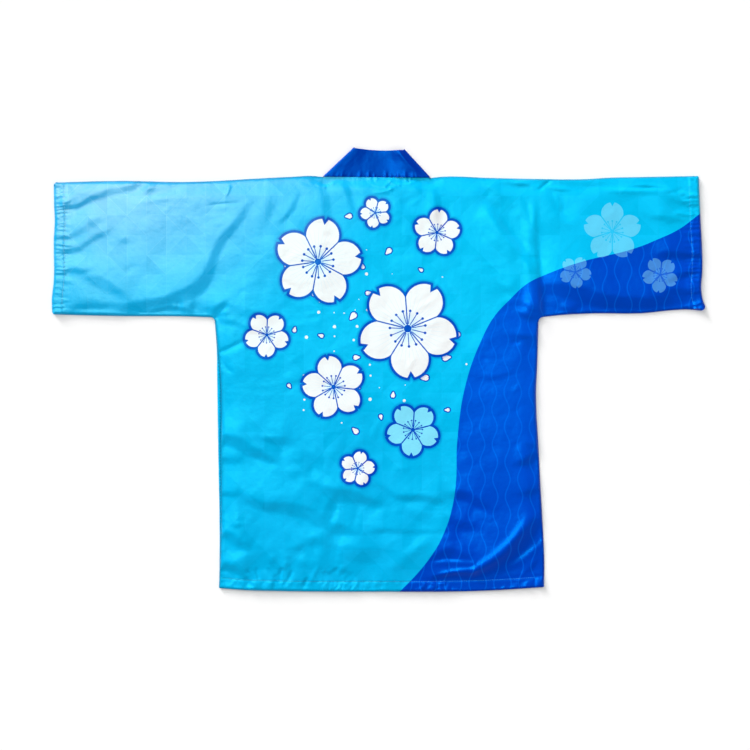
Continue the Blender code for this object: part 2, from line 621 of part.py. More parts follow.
def collar_section(outer, inner, outside_z, inside_z, ripple=0.0):
    """One loop round the strip: its outside from the sewn edge to the free one, then back inside."""
    loop = []
    for shares, height in ((COLLAR_ACROSS, outside_z), (COLLAR_ACROSS[::-1], inside_z)):
        for share in shares:
            x = outer[0] + (inner[0] - outer[0]) * share
            y = outer[1] + (inner[1] - outer[1]) * share
            fade = max(0.0, 1.0 - share / 0.45) ** 2
            z = height(x) if callable(height) else height
            loop.append((x * MM, y * MM, (z + ripple * fade) * MM))
    return loop


def band_sections(side, count=12):
    """The band under the back, from its foot to its turn at the neck."""
    outer_foot, inner_foot = (np.array((x, COLLAR_FOOT_Y)) for x in COLLAR_FEET[side])
    outer_turn, inner_turn = turn_axis(side, 0.0)
    sections = []
    for t in np.linspace(0.0, 1.0, count):
        outer = outer_foot + (outer_turn - outer_foot) * t
        inner = inner_foot + (inner_turn - inner_foot) * t
        sections.append(collar_section(outer, inner, 0.0, COLLAR_WALL))
    return sections


def turn_axis(side, outwards):
    """The line that the strip turns over on, moved outwards by some distance."""
    outer, inner = (np.array(p) for p in COLLAR_TURNS[side])
    along = (inner - outer) / np.linalg.norm(inner - outer)
    out = np.array((-along[1], along[0])) * (1.0 if side == "left" else -1.0)
    shift = out * (outwards - COLLAR_WALL - FOLD_RADIUS)
    # sliding along the line keeps the sewn edge's end just above the neck seam
    slide = -along * (shift @ (0.0, 1.0)) / along[1]
    return outer + shift + slide, inner + shift


def turn_sections(side, steps=6):
    """The half turn from the band up to the neck part."""
    sections = []
    for index in range(1, steps):
        angle = math.pi * index / steps
        radius_out = COLLAR_WALL + FOLD_RADIUS
        centre = COLLAR_WALL + FOLD_RADIUS
        loop = []
        for shares, radius in ((COLLAR_ACROSS, radius_out), (COLLAR_ACROSS[::-1], FOLD_RADIUS)):
            outer, inner = turn_axis(side, radius * math.sin(angle))
            for share in shares:
                x, y = outer + (inner - outer) * share
                loop.append((x * MM, y * MM, (centre - radius * math.cos(angle)) * MM))
        sections.append(loop)
    return sections


def neck_sections(count=58):
    """The part that shows above the neck seam."""
    left_outer, left_inner = turn_axis("left", 0.0)
    right_outer, right_inner = turn_axis("right", 0.0)
    over_band = COLLAR_WALL + 2.0 * FOLD_RADIUS

    def inside_z(x):
        return over_band - (over_band - NECK_SAG) * float(between_bands(x))

    def outside_z(x):
        return inside_z(x) + COLLAR_WALL

    sections = []
    shares = np.linspace(0.0, 1.0, count)
    ripples = NECK_GATHER_HEIGHT * uneven_waves(shares, NECK_GATHERS, 1.2) * smooth_step(shares * 12.0)
    ripples *= smooth_step((1.0 - shares) * 12.0)
    for t, ripple in zip(shares, ripples):
        dip = NECK_DIP * math.sin(math.pi * t)
        outer = left_outer + (right_outer - left_outer) * t
        inner = left_inner + (right_inner - left_inner) * t - np.array((0.0, dip))
        sections.append(collar_section(outer, inner, outside_z, inside_z, ripple))
    return sections


def make_collar():
    sections = band_sections("left") + turn_sections("left") + neck_sections()
    sections += turn_sections("right")[::-1] + band_sections("right")[::-1]
    size = len(sections[0])
    vertices = [point for loop in sections for point in loop]
    faces = []
    for base in range(0, len(vertices) - size, size):
        for index in range(size):
            after = (index + 1) % size
            faces.append((base + index, base + size + after, base + after))
            faces.append((base + index, base + size + index, base + size + after))
    half = size // 2
    last = len(vertices) - size
    for index in range(half - 1):
        a, b, c, d = index, index + 1, size - 2 - index, size - 1 - index
        faces.append((a, b, c))
        faces.append((a, c, d))
        faces.append((last + a, last + c, last + b))
        faces.append((last + a, last + d, last + c))
    return add_object("collar", vertices, faces)


def satin(name, colour):
    material = bpy.data.materials.new(name)
    material.use_nodes = True
    shader = material.node_tree.nodes["Principled BSDF"]
    shader.inputs["Base Color"].default_value = colour + (1.0,)
    shader.inputs["Roughness"].default_value = 0.42
    shader.inputs["Metallic"].default_value = 0.0
    return material


def main():
    for piece in list(bpy.data.objects):
        bpy.data.objects.remove(piece)
    printed = satin("printed_satin", (0.0, 0.58, 0.93))
    plain = satin("collar_satin", (0.0, 0.05, 0.49))
    for piece in (make_back(), make_front("front_left"), make_front("front_right")):
        piece.data.materials.append(printed)
    make_collar().data.materials.append(plain)


main()
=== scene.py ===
import math
import bpy
import numpy as np
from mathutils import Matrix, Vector, noise
from mathutils.geometry import delaunay_2d_cdt


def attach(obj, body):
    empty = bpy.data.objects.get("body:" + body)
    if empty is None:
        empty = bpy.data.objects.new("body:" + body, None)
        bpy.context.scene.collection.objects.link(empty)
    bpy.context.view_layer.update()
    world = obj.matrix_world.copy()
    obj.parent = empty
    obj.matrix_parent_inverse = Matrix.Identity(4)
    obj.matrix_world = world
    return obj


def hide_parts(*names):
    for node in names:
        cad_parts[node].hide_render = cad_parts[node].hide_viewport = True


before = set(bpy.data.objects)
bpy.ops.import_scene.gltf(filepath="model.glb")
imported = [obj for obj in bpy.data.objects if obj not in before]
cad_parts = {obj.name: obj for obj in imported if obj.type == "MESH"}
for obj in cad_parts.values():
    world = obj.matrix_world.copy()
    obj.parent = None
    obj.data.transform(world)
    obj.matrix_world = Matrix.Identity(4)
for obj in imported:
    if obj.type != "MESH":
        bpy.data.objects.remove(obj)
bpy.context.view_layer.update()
scene = bpy.context.scene
print("frame loaded:", len(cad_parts), "nodes")

# The coat lies with its back up, sleeves along X, collar towards +Y.
# Everything below is in millimetres until a mesh is made.
mm = 0.001

# what the shells share with the solid parts: walls, gaps and slopes
solid = {
    "wall": 1.2, "hemWall": 1.9, "hemRamp": 3.0, "seamGap": 0.3,
    "loft": 5.8, "swells": (0.16, 0.10),
    "roll": 36.0, "neckRoll": 26.0, "hemFlat": 10.0, "hemRoll": 75.0,
    "gapSag": 0.8, "gapStart": 6.0, "gapSlope": 0.6, "restSoftness": 0.3,
    "bandMargin": 12.0, "bandSlope": 18.0,
}

# corners: x, y, rounding radius
corners = {
    "leftCuffTop": (-623.0, 358.5, 8.0),
    "neckLeft": (-107.5, 369.2, 0.0),
    "neckRight": (100.6, 367.3, 0.0),
    "rightCuffTop": (614.4, 371.1, 5.0),
    "rightCuffEnd": (623.0, 111.9, 6.0),
    "rightArmpit": (307.2, 99.5, 9.0),
    "hemRight": (317.8, -418.0, 4.0),
    "hemLeft": (-306.2, -419.9, 4.0),
    "leftArmpit": (-314.9, 99.5, 7.0),
    "leftCuffEnd": (-625.9, 105.2, 7.0),
    "frontHemLeft": (-304.5, -416.5, 4.0),
    "frontFootLeft": (-107.5, -421.5, 0.0),
    "frontFootRight": (105.3, -421.5, 0.0),
    "frontHemRight": (315.5, -415.0, 4.0),
}

# edges: two corners, then how far the cloth strays inwards as (share, distance)
edges = {
    "topLeft": ("leftCuffTop", "neckLeft",
                ((0.24, -0.5), (0.50, 4.2), (0.60, 3.5), (0.73, 1.0), (0.88, -1.3), (0.97, -2.0))),
    "neck": ("neckLeft", "neckRight", ()),
    "topRight": ("neckRight", "rightCuffTop",
                 ((0.03, -1.6), (0.22, 0.8), (0.39, 3.5), (0.59, 4.2), (0.65, 2.5), (0.80, 1.2))),
    "rightCuff": ("rightCuffTop", "rightCuffEnd",
                  ((0.28, -0.4), (0.71, -0.6), (0.84, 2.5), (0.93, -0.5), (0.97, -3.8))),
    "rightUnderarm": ("rightCuffEnd", "rightArmpit",
                      ((0.09, 4.0), (0.18, 4.0), (0.35, 0.6), (0.69, 3.8), (0.86, 3.1))),
    "rightSide": ("rightArmpit", "hemRight",
                  ((0.19, 5.0), (0.27, 7.7), (0.36, 7.7), (0.45, 5.8), (0.60, 3.5), (0.73, 1.0),
                   (0.90, -1.2))),
    "hem": ("hemRight", "hemLeft",
            ((0.15, -5.6), (0.23, -7.3), (0.52, -7.7), (0.81, -6.1), (0.92, -4.0))),
    "leftSide": ("hemLeft", "leftArmpit",
                 ((0.06, 1.5), (0.18, 4.4), (0.51, 7.3), (0.79, 8.6), (0.88, 4.8))),
    "leftUnderarm": ("leftArmpit", "leftCuffEnd", ((0.16, 1.0), (0.60, -0.6))),
    "leftCuff": ("leftCuffEnd", "leftCuffTop",
                 ((0.10, -1.2), (0.26, 2.1), (0.57, 1.3), (0.72, 2.7), (0.83, 1.0))),
    "leftSideFront": ("frontHemLeft", "leftArmpit",
                      ((0.06, 0.0), (0.18, 1.5), (0.51, 2.1), (0.79, 2.9), (0.88, 3.3))),
    "leftFrontEdge": ("neckLeft", "frontFootLeft", ()),
    "leftFrontHem": ("frontFootLeft", "frontHemLeft", ()),
    "rightSideFront": ("rightArmpit", "frontHemRight",
                       ((0.19, 5.0), (0.27, 7.7), (0.36, 7.7), (0.45, 5.8), (0.60, 3.5), (0.73, 1.0))),
    "rightFrontHem": ("frontHemRight", "frontFootRight", ()),
    "rightFrontEdge": ("frontFootRight", "neckRight", ()),
}
sewnEdges = ("topLeft", "topRight", "rightUnderarm", "rightSide", "leftSide", "leftUnderarm")
openEdges = ("rightCuff", "hem", "leftCuff")
backOutline = ("topLeft", "neck", "topRight", "rightCuff", "rightUnderarm", "rightSide",
               "hem", "leftSide", "leftUnderarm", "leftCuff")
frontOutlines = {
    "left": ("topLeft", "leftFrontEdge", "leftFrontHem", "leftSideFront", "leftUnderarm", "leftCuff"),
    "right": ("topRight", "rightCuff", "rightUnderarm", "rightSideFront", "rightFrontHem",
              "rightFrontEdge"),
}


def smoothStep(share):
    share = np.clip(share, 0.0, 1.0)
    return share * share * (3.0 - 2.0 * share)


def softNoise(points, scale, level):
    return np.array([noise.noise(Vector((x / scale, y / scale, level))) for x, y in points])


def curveThrough(rows, places):
    rows = np.array(rows)
    slopes = np.gradient(rows[:, 1], rows[:, 0])
    index = np.clip(np.searchsorted(rows[:, 0], places) - 1, 0, len(rows) - 2)
    step = rows[index + 1, 0] - rows[index, 0]
    t = (places - rows[index, 0]) / step
    start = rows[index, 1] * (1 + 2 * t) * (1 - t) ** 2 + slopes[index] * step * t * (1 - t) ** 2
    end = rows[index + 1, 1] * t * t * (3 - 2 * t) - slopes[index + 1] * step * t * t * (1 - t)
    return start + end


# a bend from a to c that leans towards b
def bentCurve(a, b, c, t):
    return a * (1 - t) ** 2 + b * 2 * t * (1 - t) + c * t * t


def edgePoints(name, spacing=13.0, inset=0.0):
    startName, endName, strays = edges[name]
    start = np.array(corners[startName][:2])
    end = np.array(corners[endName][:2])
    length = np.linalg.norm(end - start)
    along = (end - start) / length
    inwards = np.array((along[1], -along[0]))
    trim0 = max(corners[startName][2], inset) / length
    trim1 = max(corners[endName][2], inset) / length
    count = max(2, round(length / spacing) + 1)
    shares = np.linspace(trim0, 1.0 - trim1, count)
    stray = 0.0 * shares
    if strays:
        stray = curveThrough(((0.0, 0.0),) + strays + ((1.0, 0.0),), shares)
    return start + np.outer(shares * length, along) + np.outer(stray + inset, inwards)


def outline(edgeNames, spacing, closest=0.5):
    points = []
    for name, nextName in zip(edgeNames, edgeNames[1:] + edgeNames[:1]):
        run = edgePoints(name, spacing)
        points.extend(run)
        x, y, radius = corners[edges[name][1]]
        if radius > 0.0:
            after = edgePoints(nextName, spacing)[0]
            steps = max(3, round(radius * 1.6 / min(spacing, 4.0)))
            for t in np.linspace(0.0, 1.0, steps + 2)[1:-1]:
                points.append(bentCurve(run[-1], np.array((x, y)), after, t))
    kept = [points[0]]
    for point in points[1:]:
        if np.linalg.norm(point - kept[-1]) > closest:
            kept.append(point)
    if np.linalg.norm(kept[0] - kept[-1]) < closest:
        kept.pop()
    return np.array(kept)


# distance travelled along a path at each of its points
def travelled(path):
    legs = np.linalg.norm(np.diff(path, axis=0), axis=1)
    return np.concatenate(((0.0,), np.cumsum(legs)))


# distance to a path, its side (left above 0) and the share along it
def nearestOn(path, points):
    best = np.full(len(points), 1e9)
    side = np.zeros(len(points))
    share = np.zeros(len(points))
    reached = travelled(path)
    for leg, (a, b) in enumerate(zip(path[:-1], path[1:])):
        length = np.linalg.norm(b - a)
        along = (b - a) / length
        off = points - a
        t = np.clip(off @ along, 0.0, length)
        away = off - np.outer(t, along)
        distance = np.hypot(away[:, 0], away[:, 1])
        closer = distance < best
        best[closer] = distance[closer]
        side[closer] = np.sign(along[0] * off[closer, 1] - along[1] * off[closer, 0])
        share[closer] = (reached[leg] + t[closer]) / reached[-1]
    return best, side, share


def toEdge(name, points, spacing=13.0):
    return nearestOn(edgePoints(name, spacing), points)[0]


# the points that lie within reach of a path's box
def pointsNear(path, points, reach):
    low, high = path.min(axis=0) - reach, path.max(axis=0) + reach
    return np.flatnonzero(np.all((points > low) & (points < high), axis=1))


# where the cloth drops across a line, towards -Y or +X: steep across a width and easing back
# on both sides; stations of x, y, width and drop
falls = (
    # left sleeve: the long drape from the shoulder to the underarm, and folds from the cuff
    ((-245, 319, 12, 0.3), (-258, 298, 14, 2.0), (-274, 277, 15, 3.0), (-289, 260, 16, 3.4),
     (-306, 237, 17, 3.6), (-317, 210, 18, 3.8), (-327, 181, 20, 4.4), (-341, 160, 26, 5.4),
     (-362, 146, 24, 6.0), (-381, 139, 22, 6.0), (-410, 127, 22, 5.8), (-439, 122, 23, 5.4),
     (-477, 116, 20, 3.0), (-500, 113, 16, 0.5)),
    ((-456, 355, 8, 0.8), (-467, 350, 13, 3.0), (-487, 344, 14, 4.2), (-515, 340, 17, 4.6),
     (-538, 333, 13, 3.8), (-558, 323, 11, 3.6), (-577, 312, 9, 3.0), (-600, 310, 8, 1.8)),
    ((-394, 347, 6, 0.4), (-419, 344, 9, 1.8), (-438, 340, 11, 3.2), (-454, 333, 8, 0.8)),
    ((-564, 355, 9, 0.6), (-577, 340, 12, 1.8), (-592, 325, 8, 1.2), (-602, 318, 6, 0.8)),
    ((-520, 289, 8, 0.4), (-550, 279, 17, 2.4), (-563, 269, 14, 2.2), (-588, 256, 9, 2.0),
     (-602, 252, 7, 1.0)),
    ((-508, 266, 8, 0.3), (-535, 256, 9, 1.8), (-554, 245, 10, 2.2), (-573, 231, 10, 2.4),
     (-602, 225, 8, 2.0)),
    ((-546, 195, 7, 0.3), (-569, 187, 9, 2.0), (-588, 190, 8, 2.0), (-603, 186, 6, 1.6)),
    ((-562, 175, 8, 0.8), (-535, 166, 24, 3.6), (-515, 154, 21, 3.4), (-496, 144, 15, 2.4),
     (-480, 132, 9, 0.4)),
    ((-590, 119, 6, 0.9), (-535, 121, 7, 1.2), (-490, 124, 6, 0.4)),
    ((-498, 244, 9, 0.4), (-483, 244, 10, 0.9), (-466, 246, 9, 0.3)),
    # left armpit and the body beside it
    ((-290, 120, 10, 0.6), (-256, 110, 20, 2.6), (-224, 98, 20, 2.0), (-186, 86, 14, 0.3)),
    ((-302, 93, 8, 2.0), (-274, 87, 10, 2.0), (-247, 76, 10, 1.4), (-218, 66, 8, 0.3)),
    ((-315, 110, 5, 1.6), (-302, 124, 6, 1.8), (-286, 135, 5, 0.3)),
    ((-314, 100, 5, 1.2), (-295, 106, 5, 1.4), (-276, 110, 5, 0.2)),
    ((-199, 275, 6, 0.3), (-180, 289, 5, 1.6), (-166, 306, 5, 1.5), (-151, 343, 5, 0.2)),
    ((-218, 268, 11, 0.2), (-212, 296, 11, 0.9), (-198, 321, 10, 0.2)),
    # from the neck
    ((-97, 254, 16, 0.3), (-98, 290, 18, 2.0), (-103, 325, 17, 2.2), (-107, 354, 10, 0.8)),
    ((-44, 290, 9, 0.3), (-53, 321, 10, 2.2), (-60, 344, 10, 2.4), (-70, 361, 8, 1.0)),
    ((117, 258, 9, 0.4), (114, 296, 9, 2.4), (112, 329, 10, 2.8), (104, 346, 9, 0.8)),
    ((162, 114, 10, 0.3), (141, 137, 12, 1.6), (126, 162, 12, 1.6), (118, 192, 9, 0.3)),
    # right shoulder
    ((301, 186, 10, 1.7), (287, 208, 14, 5.5), (274, 229, 16, 6.4), (256, 250, 16, 6.1),
     (241, 269, 15, 6.1), (229, 287, 15, 5.8), (218, 304, 13, 4.3), (205, 321, 10, 0.7)),
    ((198, 354, 7, 0.7), (214, 344, 10, 2.9), (234, 331, 9, 0.6)),
    ((241, 356, 7, 0.9), (272, 354, 9, 2.6), (296, 358, 6, 0.7)),
    ((290, 274, 7, 0.4), (285, 302, 8, 1.7), (274, 328, 7, 0.4)),
    ((366, 276, 9, 0.4), (348, 298, 13, 3.5), (333, 325, 12, 3.5), (319, 351, 8, 1.2)),
    ((314, 106, 9, 5.8), (310, 152, 9, 5.5), (306, 200, 9, 4.1), (302, 248, 8, 2.3), (302, 318, 8, 0.6)),
    ((231, 164, 10, 0.7), (245, 152, 12, 3.5), (260, 140, 12, 1.2)),
    ((250, 123, 8, 2.2), (279, 103, 10, 4.3), (300, 97, 8, 2.2)),
    # right sleeve
    ((318, 154, 18, 2.9), (348, 152, 24, 5.2), (387, 144, 28, 5.4), (425, 133, 26, 6.4),
     (473, 126, 24, 5.5), (540, 128, 22, 4.3), (600, 138, 16, 2.2)),
    ((530, 216, 10, 0.7), (556, 219, 14, 5.2), (587, 218, 11, 3.8), (614, 218, 8, 2.9)),
    ((560, 170, 8, 0.9), (582, 180, 10, 3.8), (600, 185, 8, 2.6)),
    ((538, 141, 10, 0.7), (563, 150, 14, 3.8), (587, 148, 12, 3.5), (616, 150, 8, 2.3)),
    ((512, 292, 7, 0.6), (540, 289, 10, 2.9), (582, 284, 7, 1.2)),
    ((556, 329, 6, 0.4), (579, 320, 8, 2.3), (594, 316, 7, 2.6), (616, 317, 6, 1.7)),
    ((484, 356, 7, 0.6), (512, 352, 9, 2.3), (546, 357, 7, 0.6)),
    ((355, 356, 6, 0.4), (406, 354, 8, 1.7), (447, 357, 6, 0.4)),
    # left half of the body
    ((-300, -134, 18, 6.3), (-270, -141, 22, 7.2), (-247, -156, 21, 6.8), (-227, -164, 15, 6.4),
     (-208, -173, 10, 3.4), (-193, -179, 7, 0.3)),
    ((-234, -132, 5, 0.3), (-208, -136, 12, 3.6), (-185, -138, 18, 4.5), (-162, -139, 14, 0.6)),
    ((-300, -174, 11, 3.1), (-277, -175, 13, 2.5), (-258, -177, 10, 0.2)),
    ((-298, -239, 5, 2.5), (-277, -240, 5, 1.7), (-268, -240, 4, 0.2)),
    ((-270, -230, 8, 0.3), (-249, -251, 15, 4.8), (-222, -262, 16, 5.6), (-189, -264, 19, 6.4),
     (-162, -270, 24, 5.2), (-139, -275, 26, 6.4), (-115, -289, 26, 6.4), (-96, -300, 14, 0.8)),
    ((-130, -219, 8, 0.7), (-103, -233, 18, 5.3), (-80, -242, 25, 6.0), (-55, -243, 25, 6.0),
     (-32, -249, 17, 5.9), (-9, -256, 12, 3.6), (12, -259, 8, 0.3)),
    ((-95, -303, 14, 0.8), (-84, -306, 22, 6.2), (-70, -307, 21, 5.9), (-54, -312, 10, 2.8),
     (-33, -316, 6, 0.3)),
    ((-22, -313, 5, 0.6), (3, -310, 7, 2.2), (60, -312, 5, 1.1), (122, -310, 5, 1.1)),
    ((-300, -317, 12, 4.2), (-285, -320, 17, 5.8), (-272, -331, 17, 5.8), (-260, -338, 13, 4.5),
     (-248, -347, 6, 0.2)),
    ((-300, -379, 17, 6.2), (-281, -381, 15, 6.4), (-268, -389, 12, 4.8), (-257, -399, 8, 1.7)),
    ((-287, -299, 6, 0.7), (-270, -299, 7, 2.0), (-256, -299, 5, 0.2)),
    ((-174, -345, 6, 0.3), (-152, -343, 9, 2.2), (-137, -338, 8, 0.7)),
    ((-140, -335, 9, 0.6), (-124, -330, 18, 4.8), (-106, -334, 10, 0.6)),
    ((-136, -170, 10, 0.3), (-124, -171, 15, 1.7), (-110, -173, 10, 0.2)),
    ((-88, -341, 16, 1.4), (-55, -353, 28, 3.9), (-16, -358, 30, 4.5), (16, -358, 24, 0.8)),
    ((-219, -364, 5, 0.3), (-204, -386, 6, 2.0), (-192, -404, 5, 2.0)),
    # middle and right half of the body
    ((-12, -218, 7, 0.4), (14, -230, 10, 2.2), (36, -245, 10, 3.2), (60, -247, 11, 4.5),
     (89, -247, 12, 4.0), (110, -253, 14, 4.5), (127, -255, 10, 0.8)),
    ((46, -272, 13, 0.6), (80, -282, 21, 3.5), (118, -298, 14, 0.8)),
    ((137, -240, 11, 1.9), (150, -241, 16, 5.0), (170, -244, 18, 6.2), (191, -257, 18, 6.2),
     (214, -271, 11, 1.5)),
    ((134, -287, 11, 1.2), (160, -299, 16, 4.8), (192, -303, 13, 1.0)),
    ((106, -361, 11, 1.9), (137, -353, 21, 6.2), (157, -359, 15, 5.0), (178, -368, 8, 0.6)),
    ((96, -402, 8, 1.0), (128, -396, 10, 5.2), (153, -395, 14, 6.8), (180, -397, 17, 7.0),
     (206, -387, 19, 8.2), (231, -374, 22, 9.6), (252, -358, 25, 10.4), (270, -337, 27, 10.4),
     (287, -316, 26, 8.8), (306, -293, 22, 5.0)),
    ((283, -395, 8, 1.9), (299, -378, 10, 4.8), (313, -360, 10, 2.5)),
    ((262, -183, 9, 1.0), (283, -176, 12, 5.2), (302, -166, 14, 5.0)),
    ((283, -143, 8, 1.0), (300, -148, 10, 3.0)),
    ((270, -239, 9, 0.8), (293, -236, 10, 3.2), (310, -229, 10, 1.2)),
    # right side below the armpit
    ((240, 63, 7, 0.4), (270, 62, 9, 2.0), (305, 60, 7, 1.6)),
    ((282, 57, 9, 0.6), (296, 50, 15, 2.4), (308, 44, 12, 1.0)),
    ((184, -14, 6, 0.3), (218, -18, 8, 1.6), (264, -3, 7, 0.3)),
)
# a fall eases back over a share of its width and this far more, and fades past its ends
falling = {"easeShare": 1.4, "ease": 10.0, "endFade": 9.0, "reach": 22.0}
foldReach = 3.2            # folds and falls are worked out this many widths away


# how far points lie past the end of a path whose last leg comes from before
def pastEnd(points, end, before):
    return (points - end) @ (end - before) / np.linalg.norm(end - before)


# the sum of the falls, each worked out only near itself
def fallHeights(points):
    total = np.zeros(len(points))
    for stations in falls:
        x, y, width, drop = np.array(stations, float).T
        placed = travelled(np.column_stack((x, y)))
        placed /= placed[-1]
        shares = np.linspace(0.0, 1.0, 4 * len(x) - 3)
        path = np.column_stack([curveThrough(np.column_stack((placed, values)), shares) for values in (x, y)])
        if x[-1] - x[0] + y[-1] - y[0] < 0.0:             # every fall faces -Y or +X
            path, placed, width, drop = path[::-1], 1.0 - placed[::-1], width[::-1], drop[::-1]
        near = pointsNear(path, points, foldReach * width.max() + falling["reach"])
        distance, side, share = nearestOn(path, points[near])
        before = pastEnd(points[near], path[0], path[1])
        after = pastEnd(points[near], path[-1], path[-2])
        past = np.clip(np.where(share < 0.5, before, after), 0.0, distance)
        across = -side * np.sqrt(distance ** 2 - past ** 2)
        width = np.interp(share, placed, width)
        level = 0.5 - np.clip(across / width + 0.5, 0.0, 1.0)
        ease = falling["easeShare"] * width + falling["ease"]
        beyond = np.maximum(np.abs(across) - width / 2, 0.0) / ease
        fade = np.exp(-beyond ** 2 - (past / falling["endFade"]) ** 2)
        total[near] += np.interp(share, placed, drop) * level * fade
    return total


# soft ridges and troughs: from, to, bow to the left, half width, height (troughs below 0), lean
# that makes the left side steeper, and the share of the height lost at each end; a row without
# the last three has no lean, and dies out at both ends
foldColumns = ("x0", "y0", "x1", "y1", "bow", "width", "height", "lean", "lost0", "lost1")
folds = (
    (-268, 296, -352, 150, 12, 26, 1.2), (-385, 126, -350, 120, 2, 13, 2.6),
    (-602, 317, -533, 350, 5, 7, 1.4, 0.0, 0, 1), (-312, 99, -284, 129, 0, 5, -1.6, 0.0, 0, 1),
    (-309, 31, -248, 60, -2, 6, -1.8, 0.1, 0, 1), (-304, 20, -273, -10, -4, 5, -1.2, 0.0, 0, 1),
    (186, 318, 268, 196, 10, 15, 1.8), (288, 300, 293, 118, -2, 11, 2.2, 0.0, 1, 0),
    (305, 341, 327, 361, 0, 4, -2.0, 0.0, 1, 0), (344, 124, 384, 112, 0, 9, 2.4),
    (309, 99, 240, 126, -5, 8, -2.4, 0.0, 0, 1), (-140, -226, -78, -272, 4, 11, 1.2),
    (92, -374, 182, -372, 4, 6, 1.6, 0.2, 1, 0), (104, -398, 184, -384, 3, 6, 1.8, 0.2, 1, 0),
    (184, -384, 298, -262, -14, 9, 2.6, 0.2, 0, 1), (196, -402, 316, -330, -8, 7, 2.2, 0.2, 1, 0),
    (18, -386, 118, -308, 0, 11, 1.8),
    # left sleeve
    (-452, 346, -420, 354, 0, 4, 0.8), (-475, 314, -391, 329, 3, 6, 0.6),
    (-286, 349, -296, 331, 2, 3, 1.1, 0.0, 0, 1), (-345, 311, -244, 319, 3, 2.6, -0.7, 0.3),
    (-592, 111, -489, 108, 0, 4, 0.8), (-452, 106, -391, 121, 3, 5, 1.2, 0.0, 1, 0),
    (-391, 121, -345, 105, 3, 5, 1.2, 0.0, 0, 1),
    # neck
    (-116, 359, -87, 356, -2, 7, -1.2), (33, 356, 64, 363, -2, 4, -0.9, 0.2),
    (-26, 361, 36, 360, -10, 4, -0.9), (84, 362, 98, 354, 0, 3, 0.7, 0.0, 0, 1),
    (-20, 359, 13, 351, -3, 2.6, 1.1, 0.0, 1, 0), (13, 351, 23, 361, 0, 2.6, 1.1, 0.0, 0, 0),
    (23, 361, 40, 354, -2, 2.6, 1.0, 0.0, 0, 0), (40, 354, 76, 365, -4, 2.6, 1.0, 0.0, 0, 1),
    (-14, 340, 24, 346, -4, 3.2, 1.0, 0.0, 1, 0), (24, 346, 38, 352, 0, 3.0, 0.8, 0.0, 0, 1),
    (-122, 357, -104, 350, -1, 2.6, 0.9, 0.0, 1, 0), (-104, 350, -80, 363, -3, 2.6, 0.9, 0.0, 0, 1),
    (41, 326, 70, 305, 0, 8, -0.8),
    # right armpit and side
    (250, 51, 276, 51, 0, 4, -0.8), (296, 10, 296, -140, 0, 22, 1.4),
    # right sleeve
    (399, 346, 577, 344, -3, 5, 1.8, 0.2), (470, 352, 560, 349, 2, 3, 1.2),
    (318, 352, 372, 345, -2, 4, 1.4), (250, 357, 312, 349, 2, 4, 1.3), (333, 340, 352, 300, 2, 6, 1.6),
    (292, 330, 300, 262, 1, 7, 1.4), (560, 300, 600, 296, 0, 4, 1.2, 0.0, 1, 0),
    (572, 340, 602, 333, 0, 4, 1.2, 0.0, 1, 0),
    # at the stitching of the hem
    (277, -392, 290, -398, 0, 5, -1.2), (-191, -403, -183, -378, 1, 3.4, -1.9, 0.0, 0, 1),
    (-192, -403, -214, -378, 2, 3.8, -1.6, 0.0, 0, 1), (-170, -402, -165, -382, 0, 3.4, -1.4, 0.0, 0, 1),
    (-184, -388, -174, -362, 0, 6, 1.4), (-208, -376, -200, -350, 0, 8, 1.4),
    (-152, -354, -138, -378, 0, 9, 1.5), (-128, -404, -112, -376, 2, 5, 1.3, 0.0, 0, 1),
    (-88, -403, -80, -378, 0, 4, -2.3, 0.0, 0, 1), (-90, -403, -106, -386, 1, 3.6, -1.7, 0.0, 0, 1),
    (-62, -403, -46, -388, -1, 3.8, -1.6, 0.0, 0, 1), (-72, -398, -66, -370, 0, 6, 1.3, 0.0, 0, 1),
    (-236, -378, -230, -400, 0, 3.4, -1.3, 0.0, 1, 0), (-256, -382, -240, -402, 1, 3.6, -1.7, 0.0, 1, 0),
    (-256, -396, -248, -412, 0, 5, -1.6, 0.0, 1, 0), (-199, -392, -190, -412, 0, 4, -1.5, 0.0, 1, 0),
    (-168, -388, -176, -410, 0, 4, -1.2, 0.0, 1, 0), (-134, -398, -142, -414, 0, 5, -1.7, 0.0, 1, 0),
    (-95, -388, -84, -406, 0, 5, -1.7, 0.0, 1, 0), (-66, -384, -78, -408, 0, 6, -2.0, 0.0, 1, 0),
    (-42, -394, -54, -410, 0, 4, -1.2, 0.0, 1, 0),
)
foldEnd = 0.4              # share of a fold over which it dies out at an end

# small creases scattered over the cloth
scattered = {
    "box": (-620, -420, 620, 370), "turn": 0.55, "lengths": (18.0, 62.0), "heights": (0.15, 0.7),
    "bow": 3.0, "widths": (3.2, 6.5), "lean": 0.3,
}


def foldRow(values):
    return {"lean": 0.0, "lost0": 1, "lost1": 1, **dict(zip(foldColumns, values))}


def bowedPath(row, count=9):
    a = np.array((row["x0"], row["y0"]), float)
    b = np.array((row["x1"], row["y1"]), float)
    left = np.array((a[1] - b[1], b[0] - a[0])) / np.linalg.norm(b - a)
    middle = (a + b) / 2 + left * row["bow"] * 2
    return bentCurve(a, middle, b, np.linspace(0.0, 1.0, count)[:, None])


# the sum of some folds, each worked out only near itself
def foldHeights(points, rows):
    total = np.zeros(len(points))
    for row in map(foldRow, rows):
        path = bowedPath(row)
        near = pointsNear(path, points, foldReach * row["width"] * (1.0 + abs(row["lean"])))
        distance, side, share = nearestOn(path, points[near])
        width = row["width"] * (1.0 - row["lean"] * side)
        ends = 1.0 - row["lost0"] * (1.0 - smoothStep(share / foldEnd))
        ends *= 1.0 - row["lost1"] * (1.0 - smoothStep((1.0 - share) / foldEnd))
        total[near] += row["height"] * ends * np.exp(-(distance / width) ** 2)
    return total


